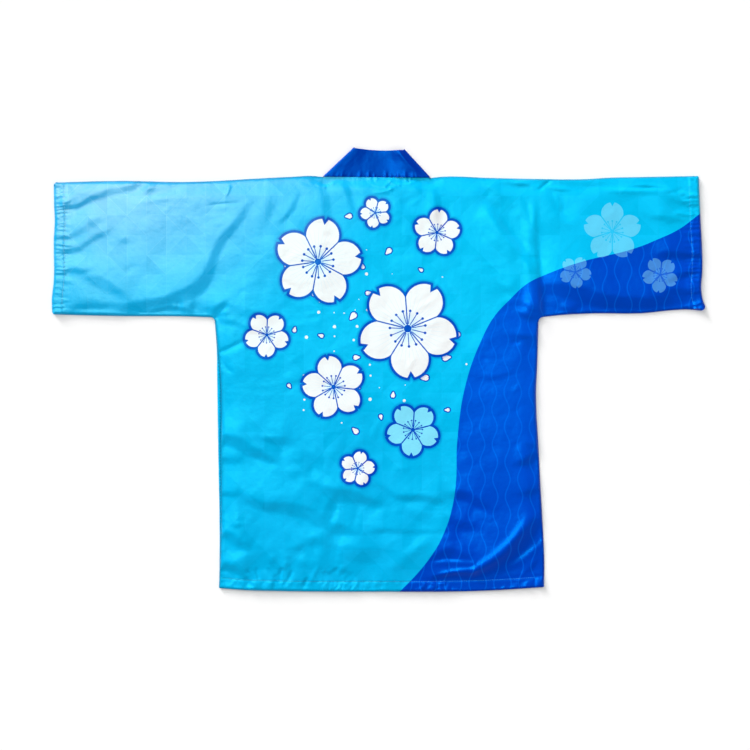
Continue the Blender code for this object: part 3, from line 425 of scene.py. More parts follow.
# the same creases each run
def smallCreases(count, seed):
    chance = np.random.default_rng(seed)
    left, low, right, high = scattered["box"]
    rows = []
    for _ in range(count):
        x = chance.uniform(left, right)
        y = chance.uniform(low, high)
        turn = chance.normal(0.0, scattered["turn"])
        length = chance.uniform(*scattered["lengths"])
        height = chance.choice((-1.0, 1.0)) * chance.uniform(*scattered["heights"])
        bow = chance.uniform(-scattered["bow"], scattered["bow"])
        width = chance.uniform(*scattered["widths"])
        lean = chance.uniform(-scattered["lean"], scattered["lean"])
        end = (x + length * math.cos(turn), y + length * math.sin(turn))
        rows.append((x, y, *end, bow, width, height, lean))
    return tuple(rows)


# gathers along the sewn lines: counts, reaches and heights
gathers = {
    "cuffCount": 24, "cuffReach": 20.0, "cuffHeight": 1.15,
    "cuffBends": ((0.012, 26.0), (0.007, 9.0)), "cuffUneven": (0.9, 1.5), "cuffShortest": 6.0,
    "cuffCrumple": 0.7, "cuffFine": 0.6, "cuffPhases": {"leftCuff": 0.6, "rightCuff": 2.1},
    "neckCount": 14, "neckReach": 17.0, "neckHeight": 1.3,
    "hemCount": 17, "hemHeight": 0.6, "hemCrumple": 1.1, "hemFine": 0.35,
    "crumpleRamp": 4.0, "fineReach": 6.0,
    "seamPitch": 13.0, "seamReach": 13.0, "seamHeight": 0.45, "seamClear": 3.0,
}


# gathers, 0 to 1, uneven in pitch and height
def unevenWaves(share, count, phase):
    turn = 2.0 * math.pi
    pitch = share * count + 0.55 * np.sin(turn * share * 2.3 + phase) + 0.2 * np.sin(turn * share * 6.1)
    wave = 0.5 - 0.5 * np.cos(turn * pitch)
    strength = 0.62 + 0.38 * np.sin(turn * share * 3.7 + 2.0 * phase)
    return wave * strength


# gathers at a cuff: bent, of uneven length, crumpled inside the hem and finer at its stitching
def cuffGathers(points, distance, share, phase):
    total = np.zeros(len(points))
    near = np.flatnonzero(distance < cloth["hemDepth"] + 2.2 * gathers["cuffReach"])
    place, inwards, share = points[near], distance[near] - cloth["hemDepth"], share[near]
    (wideBend, wideScale), (smallBend, smallScale) = gathers["cuffBends"]
    bent = share + wideBend * softNoise(place, wideScale, phase)
    bent = bent + smallBend * softNoise(place, smallScale, phase + 5.0)
    count = gathers["cuffCount"]
    rows = np.column_stack((bent * count * 0.9, np.zeros(len(near))))
    base, spread = gathers["cuffUneven"]
    reach = gathers["cuffReach"] * (base + spread * softNoise(rows, 1.0, phase))
    fade = smoothStep(1.0 - inwards / np.maximum(reach, gathers["cuffShortest"]))
    total[near] = gathers["cuffHeight"] * fade * unevenWaves(bent, count, phase)
    crumpled = unevenWaves(share + 0.022 * softNoise(place, 8.0, phase + 9.0), count * 1.7, phase + 1.7)
    total[near] += gathers["cuffCrumple"] * smoothStep(-inwards / gathers["crumpleRamp"]) * crumpled
    fine = np.exp(-(inwards / gathers["fineReach"]) ** 2)
    total[near] += gathers["cuffFine"] * fine * unevenWaves(bent, count * 2.1, phase + 1.7)
    return total


# gathers below the neck, and slack waves and crumpling along the hem
def neckAndHemGathers(points, near):
    distance, _, share = near["neck"]
    fade = smoothStep(1.0 - distance / gathers["neckReach"])
    height = gathers["neckHeight"] * fade * unevenWaves(share, gathers["neckCount"], 1.2)
    distance, _, share = near["hem"]
    inwards, count = distance - cloth["hemDepth"], gathers["hemCount"]
    fade = smoothStep(1.0 - inwards / cloth["hemDepth"])
    height += gathers["hemHeight"] * fade * unevenWaves(share, count, 0.3)
    fine = np.exp(-(inwards / gathers["fineReach"]) ** 2)
    height += gathers["hemFine"] * fine * unevenWaves(share, count * 2.7, 2.2)
    share = share + 0.0007 * distance + 0.016 * softNoise(points, 10.0, 14.0)
    crumpled = unevenWaves(share, count * 2.0, 3.1)
    return height + gathers["hemCrumple"] * smoothStep(-inwards / gathers["crumpleRamp"]) * crumpled


def seamPuckers(name, distance, share):
    length = travelled(edgePoints(name))[-1]
    fade = smoothStep(1.0 - distance / gathers["seamReach"]) * smoothStep(distance / gathers["seamClear"])
    return gathers["seamHeight"] * fade * unevenWaves(share, length / gathers["seamPitch"], 0.9)


# the cloth and how it lies
cloth = {
    "thickness": 0.6,          # one layer of satin
    "hemThickness": 1.2,       # turned in at the cuffs and the hem
    "hemDepth": 20.0,
    "hemBlend": 2.0,           # the turned hem thickens over this width
    "mostSlope": 1.5,          # a steep shell is this much thicker at most, seen from above
    "seamRound": 4.0,          # a sewn edge rounds down over this width
    "seamHeight": 1.2,         # top of the two layers where they are sewn
    "hemRound": 2.4,
    "hemDrop": 1.0,
    "edgeFullness": 2.4,       # the folded edges stay this full
    "edgeClear": 6.0, "neckClear": 30.0,      # folds, and that fullness, end this near to them
    "paintedShadeWidth": 3.6,       # painted shade darkens the edges over this width
    "paintedShade": {"topLeft": 1.0, "topRight": 1.0, "leftSide": 1.0}, "paintedShadeElsewhere": 0.45,
    "stitchWidth": 1.6, "stitchGroove": 0.3, "stitchShade": 0.7,     # where the hems are sewn down, and the painted shade along that stitching
    "undulation": 0.9,         # soft unevenness of the whole cloth
    "crinkle": 0.34, "lowerLeftCrinkle": 0.7,
    "smallCreases": (230, 5),  # how many, and their seed
    "pitch": 4.7,              # mesh spacing, halved where the cloth is busy
    "edgePitch": 2.6,
    "busyReach": {"leftCuff": 34.0, "rightCuff": 34.0, "hem": 27.0, "neck": 24.0},
    "busySeam": 5.0,
    "busyFold": 6.5,           # folds narrower than this need the finer mesh
    "sharpAngle": 62.0,
}


def betweenBands(x):
    left, right = collar["turns"]["left"][1][0], collar["turns"]["right"][1][0]
    middle, half = (left + right) / 2, (right - left) / 2
    return smoothStep((half - solid["gapStart"] - np.abs(x - middle)) / (half * solid["gapSlope"]))


# what the back lies on: the fronts, their hems and the collar's bands
def groundUnderBack(points, hemmed):
    x = points[:, 0]
    wall, hemWall, ramp, margin = (solid[key] for key in ("wall", "hemWall", "hemRamp", "bandMargin"))
    ground = wall + frontLifts(points)
    ground += (hemWall - wall) * smoothStep((cloth["hemDepth"] + ramp / 2 + margin - hemmed) / ramp)
    pastLeft = collar["turns"]["left"][0][0] - margin - x
    pastRight = x - margin - collar["feet"]["right"][0]
    onBands = smoothStep(1.0 - np.maximum(pastLeft, pastRight) / solid["bandSlope"])
    ground = np.maximum(ground, wall + (collar["wall"] - wall) * onBands)
    return ground - (collar["wall"] - collar["neckSag"] + solid["seamGap"]) * betweenBands(x)


# unevenness of the whole cloth: some parts are calm and others crumpled
def unevenness(points):
    x, y = points[:, 0], points[:, 1]
    crumpled = smoothStep(0.55 + 1.3 * softNoise(points, 105.0, 9.5))
    lowerLeft = smoothStep((-60.0 - y) / 160.0) * smoothStep((150.0 - x) / 200.0)
    crumpled *= 1.0 + cloth["lowerLeftCrinkle"] * lowerLeft
    crinkles = softNoise(points, 17.0, 7.5) + 1.6 * softNoise(points, 29.0, 3.5)
    return cloth["undulation"] * softNoise(points, 46.0, 2.5) + cloth["crinkle"] * crumpled * crinkles


# how far a rounded edge of some width has dropped, 0 to 1
def roundedDown(distance, width):
    bend = np.clip(1.0 - distance / width, 0.0, 1.0)
    return 1.0 - np.sqrt(1.0 - bend * bend)


# top surface of the back: as high as its solid, with the finer creases
def backTop(points):
    near = {name: nearestOn(edgePoints(name, 9.0), points) for name in backOutline}
    x, y = points[:, 0], points[:, 1]
    sewn = np.min([near[name][0] for name in sewnEdges], axis=0)
    hemmed = np.min([near[name][0] for name in openEdges], axis=0)
    toNeck = near["neck"][0]
    depth, ramp = cloth["hemDepth"], solid["hemRamp"]
    turned = smoothStep((depth + ramp / 2 - hemmed) / ramp)
    wall = solid["wall"] + (solid["hemWall"] - solid["wall"]) * turned

    inside = smoothStep(sewn / solid["roll"]) * smoothStep(toNeck / solid["neckRoll"])
    inside *= smoothStep((hemmed - solid["hemFlat"]) / solid["hemRoll"])
    broad, slanting = solid["swells"]
    swell = broad * np.sin(x / 74.0 + 0.8) * np.cos(y / 61.0) + slanting * np.sin((x + y) / 43.0)
    height = solid["loft"] * inside * (1.0 + swell)
    atEdge = smoothStep(np.minimum(sewn, hemmed) / cloth["seamRound"])
    atEdge *= smoothStep(toNeck / cloth["neckClear"])
    height += cloth["edgeFullness"] * atEdge * (1.0 - inside)
    creased = foldHeights(points, folds + smallCreases(*cloth["smallCreases"]))
    clear = smoothStep(np.minimum(np.minimum(sewn, hemmed), toNeck) / cloth["edgeClear"])
    height += clear * (creased + fallHeights(points) + unevenness(points))
    for name, phase in gathers["cuffPhases"].items():
        distance, _, share = near[name]
        height += cuffGathers(points, distance, share, phase)
    height += neckAndHemGathers(points, near)
    height -= solid["gapSag"] * betweenBands(x) * inside

    ground = groundUnderBack(points, hemmed)
    over = solid["wall"] + height - ground
    top = ground + solid["seamGap"] + 0.5 * (over + np.sqrt(over * over + solid["restSoftness"] ** 2)) + wall
    for name in sewnEdges:
        distance, _, share = near[name]
        top += seamPuckers(name, distance, share)
    top -= (top - cloth["seamHeight"]) * roundedDown(sewn, cloth["seamRound"])
    top -= cloth["hemDrop"] * roundedDown(hemmed, cloth["hemRound"])
    top -= cloth["stitchGroove"] * np.exp(-((hemmed - depth) / cloth["stitchWidth"]) ** 2)
    return top, hemmed


# nested triangular lattice: coarse points everywhere, the rest only where busy
def latticePoints(polygon, pitch, busy):
    low, high = polygon.min(axis=0), polygon.max(axis=0)
    rise = pitch / 2 * math.sqrt(0.75)
    rows = np.arange(int((high[1] - low[1]) / rise))
    columns = np.arange(int((high[0] - low[0]) / pitch * 2))
    column, row = (grid.ravel() for grid in np.meshgrid(columns, rows))
    points = np.column_stack((low[0] + column * pitch / 2 + (row % 2) * pitch / 4, low[1] + row * rise))
    coarse = ((column - row // 2) % 2 == 0) & (row % 2 == 0)
    points = points[coarse | busy(points)]
    inside = np.zeros(len(points), bool)
    closed = np.vstack((polygon, polygon[:1]))
    for a, b in zip(closed[:-1], closed[1:]):
        spans = (a[1] > points[:, 1]) != (b[1] > points[:, 1])
        if a[1] != b[1]:
            crossing = a[0] + (points[:, 1] - a[1]) * (b[0] - a[0]) / (b[1] - a[1])
            inside ^= spans & (points[:, 0] < crossing)
    points = points[inside]
    return points[nearestOn(closed, points)[0] > cloth["edgePitch"] * 0.55]


def backIsBusy(points):
    busy = np.zeros(len(points), bool)
    for name, reach in cloth["busyReach"].items():
        busy |= toEdge(name, points, 60.0) < reach
    for name in sewnEdges:
        busy |= toEdge(name, points, 26.0) < cloth["busySeam"]
    for row in map(foldRow, folds):
        if row["width"] < cloth["busyFold"]:
            path, reach = bowedPath(row, 5), row["width"] * 1.5
            near = pointsNear(path, points, reach)
            busy[near] |= nearestOn(path, points[near])[0] < reach
    return busy


def triangulate(polygon, points):
    face = [list(range(len(polygon)))]
    everyPoint = [Vector(p) for p in np.vstack((polygon, points))]
    flat, _, triangles, _, _, _ = delaunay_2d_cdt(everyPoint, [], face, 1, 1e-5)
    flat = np.array([tuple(p) for p in flat])
    triangles = np.array(triangles)
    a, b, c = flat[triangles[:, 0]], flat[triangles[:, 1]], flat[triangles[:, 2]]
    turn = (b - a)[:, 0] * (c - a)[:, 1] - (b - a)[:, 1] * (c - a)[:, 0]
    triangles[turn < 0.0] = triangles[turn < 0.0][:, ::-1]
    return flat, triangles


def addObject(name, data):
    added = bpy.data.objects.new(name, data)
    scene.collection.objects.link(added)
    return added


def smoothPiece(name, vertices, faces, sharpAngle, material):
    mesh = bpy.data.meshes.new(name)
    mesh.from_pydata((vertices * mm).tolist(), [], faces)
    mesh.shade_smooth()
    mesh.set_sharp_from_angle(angle=math.radians(sharpAngle))
    mesh.materials.append(material)
    print(name + ":", len(faces), "faces")
    return addObject(name, mesh)


# a thin closed shell from one triangulation; marks holds one number for each face, and the painted shade one
# for each point
def shellPiece(name, flat, triangles, high, low, upperMarks, lowerMarks, paintedShade, material):
    count = len(flat)
    rim = {}
    for a, b in np.vstack((triangles[:, [0, 1]], triangles[:, [1, 2]], triangles[:, [2, 0]])).tolist():
        if rim.pop((b, a), None) is None:
            rim[(a, b)] = True
    sides = [(b, a, count + a) for a, b in rim] + [(b, count + a, count + b) for a, b in rim]
    faces = triangles.tolist() + (triangles[:, ::-1] + count).tolist() + sides
    vertices = np.vstack((np.column_stack((flat, high)), np.column_stack((flat, low))))
    piece = smoothPiece(name, vertices, faces, cloth["sharpAngle"], material)
    marks = np.concatenate((upperMarks, lowerMarks, np.zeros(len(sides))))
    both = np.concatenate((paintedShade, paintedShade))
    for attribute, domain, values in (("reverseSide", "FACE", marks), ("paintedEdgeShade", "POINT", both)):
        piece.data.attributes.new(attribute, "FLOAT", domain).data.foreach_set("value", values)
    return piece


# how much thicker a sloping shell is when it is measured straight down
def slopeFactor(flat, triangles, high):
    corner = np.column_stack((flat, high))
    a, b, c = corner[triangles[:, 0]], corner[triangles[:, 1]], corner[triangles[:, 2]]
    facing = np.cross(b - a, c - a)
    normal = np.zeros_like(corner)
    for index in range(3):
        np.add.at(normal, triangles[:, index], facing)
    return np.linalg.norm(normal, axis=1) / np.maximum(normal[:, 2], 1e-9)


def makeBack(material):
    polygon = outline(backOutline, cloth["edgePitch"])
    flat, triangles = triangulate(polygon, latticePoints(polygon, cloth["pitch"], backIsBusy))
    high, hemmed = backTop(flat)
    turned = smoothStep((cloth["hemDepth"] - hemmed) / cloth["hemBlend"])
    layer = cloth["thickness"] + (cloth["hemThickness"] - cloth["thickness"]) * turned
    steep = np.minimum(slopeFactor(flat, triangles, high), cloth["mostSlope"])
    low = np.maximum(high - layer * steep, 0.0)
    # painted shade along the edges, strongest on the top edges and beside the left side seam
    paintedShade = np.zeros(len(flat))
    for name in sewnEdges + openEdges:
        share = cloth["paintedShade"].get(name, cloth["paintedShadeElsewhere"])
        edge = np.exp(-(toEdge(name, flat, 9.0) / cloth["paintedShadeWidth"]) ** 2)
        paintedShade = np.maximum(paintedShade, edge * share)
    # and painted shade along the stitching of the hem, up to the deep blue
    stitchShade = np.where((flat[:, 1] < 0.0) & (flat[:, 0] < 62.0), cloth["stitchShade"], 0.0)
    atStitches = np.exp(-((hemmed - cloth["hemDepth"]) / cloth["stitchWidth"]) ** 2)
    paintedShade = np.maximum(paintedShade, stitchShade * atStitches)
    upper = np.zeros(len(triangles))
    return shellPiece("coat_back", flat, triangles, high, low, upper, upper + 1.0, paintedShade, material)


# low folds of the fronts themselves
frontFolds = (
    (-312, 296, -404, 168, 12, 15, 2.2), (-585, 290, -490, 335, 5, 11, 1.8),
    (-290, -205, -150, -238, -8, 14, 2.2), (-270, -330, -150, -355, 4, 12, 1.8),
    (-250, 40, -160, -90, 10, 14, 2.0), (175, 325, 276, 196, 10, 15, 2.2),
    (330, 330, 395, 250, -5, 12, 1.8), (150, -372, 292, -258, -12, 13, 2.6),
    (150, -60, 255, -150, 8, 14, 2.0), (520, 250, 585, 190, 6, 11, 1.6),
)
fronts = {
    "pitch": 7.0, "edgePitch": 3.38, "hemThickness": 1.0, "foldSpread": 1.4,
    "busy": {"Cuff": (34.0, 60.0), "FrontHem": (26.0, 60.0), "SideFront": (12.0, 20.0)},
    "smallCreases": (120, 11), "unevenness": 0.35, "wrinkles": 0.8, "wrinkleRamp": (4.0, 14.0),
    "cuffHeight": 0.7, "cuffReach": 14.0, "cuffCount": 28.8,
    "stitchRidge": 0.55, "stitchWidth": 1.5,
    # the left front is rolled a little over its side seam, and shows beside the back, with painted shade next
    # to the seam
    "rollReach": 14.0, "rollUnder": 3.0, "rollHalves": (1.2, 4.2), "rollHeight": 1.9, "rollShade": 0.8,
}


def frontLifts(points):
    total = np.zeros(len(points))
    for row in map(foldRow, frontFolds):
        distance, _, share = nearestOn(bowedPath(row), points)
        ends = smoothStep(share / foldEnd) * smoothStep((1.0 - share) / foldEnd)
        spread = smoothStep(1.0 - distance / row["width"] / fronts["foldSpread"])
        total = np.maximum(total, row["height"] * ends * spread)
    return total


# where the rolled strip shows, how much it stands up there, and the painted shade beside the seam
def rolledStrip(flat):
    seamLine = edgePoints("leftSide", 9.0)
    roll = toEdge("leftSideFront", flat, 9.0)
    seam = nearestOn(seamLine, flat)[0]
    beside = np.interp(flat[:, 1], seamLine[:, 1], seamLine[:, 0]) - flat[:, 0]
    shown = (roll < fronts["rollReach"]) & (beside > -fronts["rollUnder"])
    half = np.clip((roll + seam * np.sign(beside)) / 2, *fronts["rollHalves"])
    wave = 0.75 + 0.25 * np.sin(flat[:, 1] / 7.0) * np.sin(flat[:, 1] / 19.0 + 1.0)
    bead = np.sqrt(np.clip(1.0 - (1.0 - roll / half) ** 2, 0.0, 1.0)) * smoothStep((seam + 0.5) / 3.0)
    shade = 0.1 + fronts["rollShade"] * smoothStep(1.0 - seam / 2.2)
    return shown, np.where(shown, fronts["rollHeight"] * wave * bead, 0.0), np.where(shown, shade, 0.0)


def makeFront(side, material):
    names = frontOutlines[side]
    polygon = outline(names, fronts["edgePitch"])
    cuff = side + "Cuff"

    def isBusy(points):
        return np.any([toEdge(side + name, points, spacing) < reach
                       for name, (reach, spacing) in fronts["busy"].items()], axis=0)

    flat, triangles = triangulate(polygon, latticePoints(polygon, fronts["pitch"], isBusy))
    hemmed = np.minimum(toEdge(cuff, flat), toEdge(side + "FrontHem", flat))
    inwards = hemmed - cloth["hemDepth"]
    wrinkles = np.maximum(0.0, foldHeights(flat, smallCreases(*fronts["smallCreases"])))
    wrinkles += fronts["unevenness"] * np.maximum(0.0, softNoise(flat, 40.0, 4.5))
    start, ramp = fronts["wrinkleRamp"]
    inside = smoothStep((np.min([toEdge(name, flat) for name in names], axis=0) - start) / ramp)
    low = np.maximum(frontLifts(flat), fronts["wrinkles"] * wrinkles * inside)
    distance, _, share = nearestOn(edgePoints(cuff, 9.0), flat)
    fade = smoothStep(1.0 - (distance - cloth["hemDepth"]) / fronts["cuffReach"])
    low = np.maximum(low, fronts["cuffHeight"] * fade * unevenWaves(share, fronts["cuffCount"], 4.4))
    low = np.maximum(low, fronts["stitchRidge"] * np.exp(-(inwards / fronts["stitchWidth"]) ** 2))
    turned = smoothStep(-inwards / cloth["hemBlend"])
    high = low + cloth["thickness"] + (fronts["hemThickness"] - cloth["thickness"]) * turned
    upper = np.ones(len(triangles))
    paintedShade = np.zeros(len(flat))
    if side == "left":
        shown, bead, paintedShade = rolledStrip(flat)
        high = high + bead
        upper[shown[triangles].all(axis=1)] = 0.0
    return shellPiece("coat_front_" + side, flat, triangles, high, low, upper, 0.0 * upper, paintedShade, material)


# the collar strip
collar = {
    "wall": 2.0, "foldRadius": 1.0, "thickness": 1.5, "stripWidth": 57.0,
    "neckDip": 2.6, "neckSag": 0.5, "leftSag": 2.3, "trough": (-44.0, 46.0), "troughRamps": (54.0, 32.0),
    "footY": -421.0,
    "feet": {"left": (-107.2, -50.0), "right": (105.0, 48.0)},
    "turns": {"left": ((-107.2, 369.6), (-47.0, 426.4)), "right": ((100.2, 367.7), (49.5, 422.8))},
    "across": 22, "bandCount": 90, "neckCount": 210, "turnSteps": 10,
    "undulation": 0.3, "sharpAngle": 55.0,
}
# puckers above the neck seam: place, half width, height, reach
collarPuckers = (
    (-90, 2.6, 1.0, 14), (-78, 2.4, 0.7, 11), (-70, 2.6, 1.1, 15), (-55, 3.0, 0.5, 11),
    (-36, 3.2, 1.0, 15), (-19, 2.8, 1.2, 16), (-8, 2.2, 0.6, 9), (14, 3.4, 1.2, 17),
    (24, 2.4, 0.8, 11), (37, 3.0, 1.1, 14), (51, 3.6, 1.2, 18), (66, 3.0, 0.9, 13),
    (73, 2.2, 0.8, 11), (86, 2.6, 0.7, 10),
)
# soft rolls of the neck part
collarRolls = (
    (30, 428, 84, 370, 5, 22, 3.0, -0.2, 0, 0),
    (26, 424, 60, 384, 4, 5, 0.6),
)


# the line that the strip turns over on, moved outwards by some distance
def turnAxis(side, outwards):
    outer, inner = (np.array(p) for p in collar["turns"][side])
    along = (inner - outer) / np.linalg.norm(inner - outer)
    out = np.array((-along[1], along[0])) * (1.0 if side == "left" else -1.0)
    shift = out * (outwards - collar["wall"] - collar["foldRadius"])
    slide = -along * (shift @ (0.0, 1.0)) / along[1]
    return outer + shift + slide, inner + shift


# one loop round the strip, from its sewn edge over the outside to the fold and back; place gives
# the points at some shares of the way across and some depths below the outside
def stripLoop(outer, inner, place):
    width = np.linalg.norm(np.array(inner) - np.array(outer))
    radius = collar["thickness"] / 2
    rounded = np.array((0.0, 0.08, 0.3, 0.62)) * radius
    distances = np.concatenate((np.linspace(0.0, width - radius * 1.3, collar["across"]),
                                width - rounded[::-1]))
    halves = radius * np.sqrt(1.0 - np.clip(1.0 - (width - distances) / radius, 0.0, 1.0) ** 2)
    halves *= np.sqrt(1.0 - 0.6 * np.clip(1.0 - distances / 1.6, 0.0, 1.0) ** 2)
    shares, sunk = distances / width, radius - halves
    return np.vstack((place(shares, sunk), place(shares[-2::-1], collar["thickness"] - sunk[-2::-1])))


# a band that lies straight beneath the back, from its foot to the line it turns over on
def collarBand(side):
    outerFoot, innerFoot = collar["feet"][side]
    outerTurn, innerTurn = turnAxis(side, 0.0)
    loops = []
    for t in np.linspace(0.0, 1.0, collar["bandCount"]):
        outer = np.array((outerFoot, collar["footY"])) * (1 - t) + outerTurn * t
        inner = np.array((innerFoot, collar["footY"])) * (1 - t) + innerTurn * t

        def place(shares, depths):
            return np.column_stack((outer + np.outer(shares, inner - outer), depths))

        loops.append(stripLoop(outer, inner, place))
    return loops


# the half turn between a band and the neck
def collarTurn(side):
    centre = collar["wall"] + collar["foldRadius"]
    loops = []
    for index in range(1, collar["turnSteps"]):
        angle = math.pi * index / collar["turnSteps"]

        def place(shares, depths):
            radii = centre - depths
            axes = [turnAxis(side, radius * math.sin(angle)) for radius in radii]
            flat = np.array([outer + (inner - outer) * share for (outer, inner), share in zip(axes, shares)])
            return np.column_stack((flat, centre - radii * math.cos(angle)))

        loops.append(stripLoop(*turnAxis(side, centre), place))
    return loops


# top of the neck part at a share of the way from its left end to its right end
def neckTop(points, share):
    x = points[:, 0]
    overBand = collar["wall"] + 2.0 * collar["foldRadius"]
    # it falls slowly from the left to a trough right of the middle, and rises again
    (left, right), (leftRamp, rightRamp) = collar["trough"], collar["troughRamps"]
    between = smoothStep((x - left) / leftRamp) * smoothStep((right - x) / rightRamp)
    fallen = collar["leftSag"] * smoothStep(share * 3.0) * smoothStep((0.8 - share) * 4.0)
    top = collar["wall"] + collar["neckSag"] * between + (overBand - fallen) * (1.0 - between)
    seam = nearestOn(np.array((collar["turns"]["left"][0], collar["turns"]["right"][0])), points)[0]
    clear = smoothStep(share * 8.0) * smoothStep((1.0 - share) * 8.0)
    for place, halfWidth, height, reach in collarPuckers:
        fade = smoothStep(1.0 - seam / reach)
        top = top + clear * height * fade * np.exp(-((x - place) / halfWidth) ** 2)
    free = smoothStep(share * 12.0) * smoothStep((1.0 - share) * 9.0)
    free = free * (0.35 + 0.65 * smoothStep(seam / 22.0))
    rolls = foldHeights(points, collarRolls)
    return top + free * (rolls + collar["undulation"] * softNoise(points, 30.0, 1.0))


def collarNeck():
    leftOuter, leftInner = turnAxis("left", 0.0)
    rightOuter, rightInner = turnAxis("right", 0.0)
    loops = []
    for t in np.linspace(0.0, 1.0, collar["neckCount"]):
        dip = collar["neckDip"] * math.sin(math.pi * t)
        outer = leftOuter + (rightOuter - leftOuter) * t
        inner = leftInner + (rightInner - leftInner) * t - np.array((0.0, dip))

        def place(shares, depths):
            points = outer + np.outer(shares, inner - outer)
            return np.column_stack((points, neckTop(points, t) - depths))

        loops.append(stripLoop(outer, inner, place))
    return loops


def makeCollar(material):
    sections = collarBand("left") + collarTurn("left") + collarNeck()
    sections += collarTurn("right")[::-1] + collarBand("right")[::-1]
    size = len(sections[0])
    last = (len(sections) - 1) * size
    faces = []
    for base in range(0, last, size):
        for index in range(size):
            after = (index + 1) % size
            faces.append((base + index, base + size + index, base + size + after, base + after))
    faces.append(tuple(range(size)))
    faces.append(tuple(last + index for index in reversed(range(size))))
    piece = smoothPiece("coat_collar", np.vstack(sections), faces, collar["sharpAngle"], material)
    # the cloth's own directions: along the strip, and across it
    run = np.repeat(travelled(np.array([loop.mean(axis=0) for loop in sections])), size)
    once = np.linspace(0.0, collar["stripWidth"], size // 2 + 1)
    across = np.tile(np.concatenate((once, collar["stripWidth"] + once[1:]))[:size], len(sections))
    corner = np.zeros(len(piece.data.loops), int)
    piece.data.loops.foreach_get("vertex_index", corner)
    uvs = piece.data.uv_layers.new(name="cloth")
    uvs.data.foreach_set("uv", (np.column_stack((run, across))[corner] * mm).ravel())
    return piece


# a number that changes over the surface, for writing shader maths as expressions
class Value:
    def __init__(self, graph, socket):
        self.graph = graph
        self.socket = socket

    def math(self, operation, *others):
        return self.graph.math(operation, self, *others)

    def __add__(self, other):
        return self.math("ADD", other)

    def __sub__(self, other):
        return self.math("SUBTRACT", other)

    def __rsub__(self, other):
        return self.graph.math("SUBTRACT", other, self)

    def __mul__(self, other):
        return self.math("MULTIPLY", other)

    def __truediv__(self, other):
        return self.math("DIVIDE", other)

    def __lt__(self, other):
        return self.math("LESS_THAN", other)

    def __gt__(self, other):
        return self.math("GREATER_THAN", other)

    __radd__ = __add__
    __rmul__ = __mul__

    # the long side of a right-angled triangle on these two
    def hypotenuse(self, other):
        return (self * self + other * other).math("SQRT")

    # 1 below a limit and 0 above it, soft over this much to either side
    def below(self, limit, soft):
        return self.between(limit + soft, limit - soft)

    # 0 at low, 1 at high, soft between; high may be the smaller
    def between(self, low, high):
        settings = {"interpolation_type": "SMOOTHSTEP", "clamp": True}
        if low < high:
            return self.graph.node("ShaderNodeMapRange", settings, {0: self, 1: low, 2: high})
        return self.graph.node("ShaderNodeMapRange", settings, {0: self, 1: high, 2: low, 3: 1.0, 4: 0.0})


class MaterialGraph:
    def __init__(self, name):
        self.material = bpy.data.materials.new(name)
        self.material.use_nodes = True
        self.tree = self.material.node_tree
        self.tree.nodes.clear()

    # settings are made first, then the values or links of the sockets; gives some of the outputs
    def outputs(self, kind, settings, values):
        made = self.tree.nodes.new(kind)
        for setting, value in settings.items():
            setattr(made, setting, value)
        for key, value in values.items():
            if isinstance(value, Value):
                self.tree.links.new(value.socket, made.inputs[key])
            else:
                made.inputs[key].default_value = value
        return [Value(self, socket) for socket in made.outputs]

    def node(self, kind, settings, values, output=0):
        return self.outputs(kind, settings, values)[output]

    def math(self, operation, *values):
        return self.node("ShaderNodeMath", {"operation": operation}, dict(enumerate(values)))

    def vectorMath(self, operation, first, second):
        return self.node("ShaderNodeVectorMath", {"operation": operation}, {0: first, 1: second})

    def scaled(self, vector, scale):
        return self.node("ShaderNodeVectorMath", {"operation": "SCALE"}, {0: vector, "Scale": scale})

    def lengthOf(self, vector):
        return self.node("ShaderNodeVectorMath", {"operation": "LENGTH"}, {0: vector}, 1)

    def parts(self, vector):
        return self.outputs("ShaderNodeSeparateXYZ", {}, {0: vector})

    def joined(self, x, y, z):
        return self.node("ShaderNodeCombineXYZ", {}, {0: x, 1: y, 2: z})

    def objectPlace(self):
        return self.node("ShaderNodeTexCoord", {}, {}, 3)

    def attribute(self, name):
        return self.node("ShaderNodeAttribute", {"attribute_name": name}, {}, 2)

    def mixColours(self, factor, first, second):
        return self.node("ShaderNodeMix", {"data_type": "RGBA", "clamp_factor": True},
                         {0: factor, 6: first, 7: second}, 2)

    def mixVectors(self, factor, first, second):
        return self.node("ShaderNodeMix", {"data_type": "VECTOR", "clamp_factor": True},
                         {0: factor, 4: first, 5: second}, 1)

    def brightened(self, colour, factor):
        return self.node("ShaderNodeHueSaturation", {},
                         {"Hue": 0.5, "Saturation": 1.0, "Value": factor, "Color": colour})

    def noise(self, place, scale, detail, roughness=0.5, dimensions="2D"):
        return self.node("ShaderNodeTexNoise", {"noise_dimensions": dimensions},
                         {"Vector": place, "Scale": scale, "Detail": detail, "Roughness": roughness})

    def whiteNoise(self, x, y, z):
        return self.node("ShaderNodeTexWhiteNoise", {"noise_dimensions": "3D"}, {0: self.joined(x, y, z)})

    # settings are the shader's own sockets; others are more settings, each with its share
    def satin(self, settings, colour, roughness, height, strength, others=()):
        bump = self.node("ShaderNodeBump", {}, {"Strength": strength, "Distance": 0.001, "Height": height})
        values = {"Base Color": colour, "Roughness": roughness, "Normal": bump}
        shader = self.node("ShaderNodeBsdfPrincipled", {}, {**values, **settings})
        for otherSettings, share in others:
            other = self.node("ShaderNodeBsdfPrincipled", {}, {**values, **otherSettings})
            shader = self.node("ShaderNodeMixShader", {}, {0: share, 1: shader, 2: other})
        self.outputs("ShaderNodeOutputMaterial", {}, {0: shader})
        return self.material


# a screen colour, 0 to 255, as the shader wants it
def screenColour(red, green, blue):
    channels = []
    for value in (red, green, blue):
        value /= 255.0
        channels.append(value / 12.92 if value <= 0.04045 else ((value + 0.055) / 1.055) ** 2.4)
    return (*channels, 1.0)


studioBrightness = 1.17


# a dye that looks so in the studio's light
def dyed(red, green, blue):
    return (*(channel / studioBrightness for channel in screenColour(red, green, blue)[:3]), 1.0)


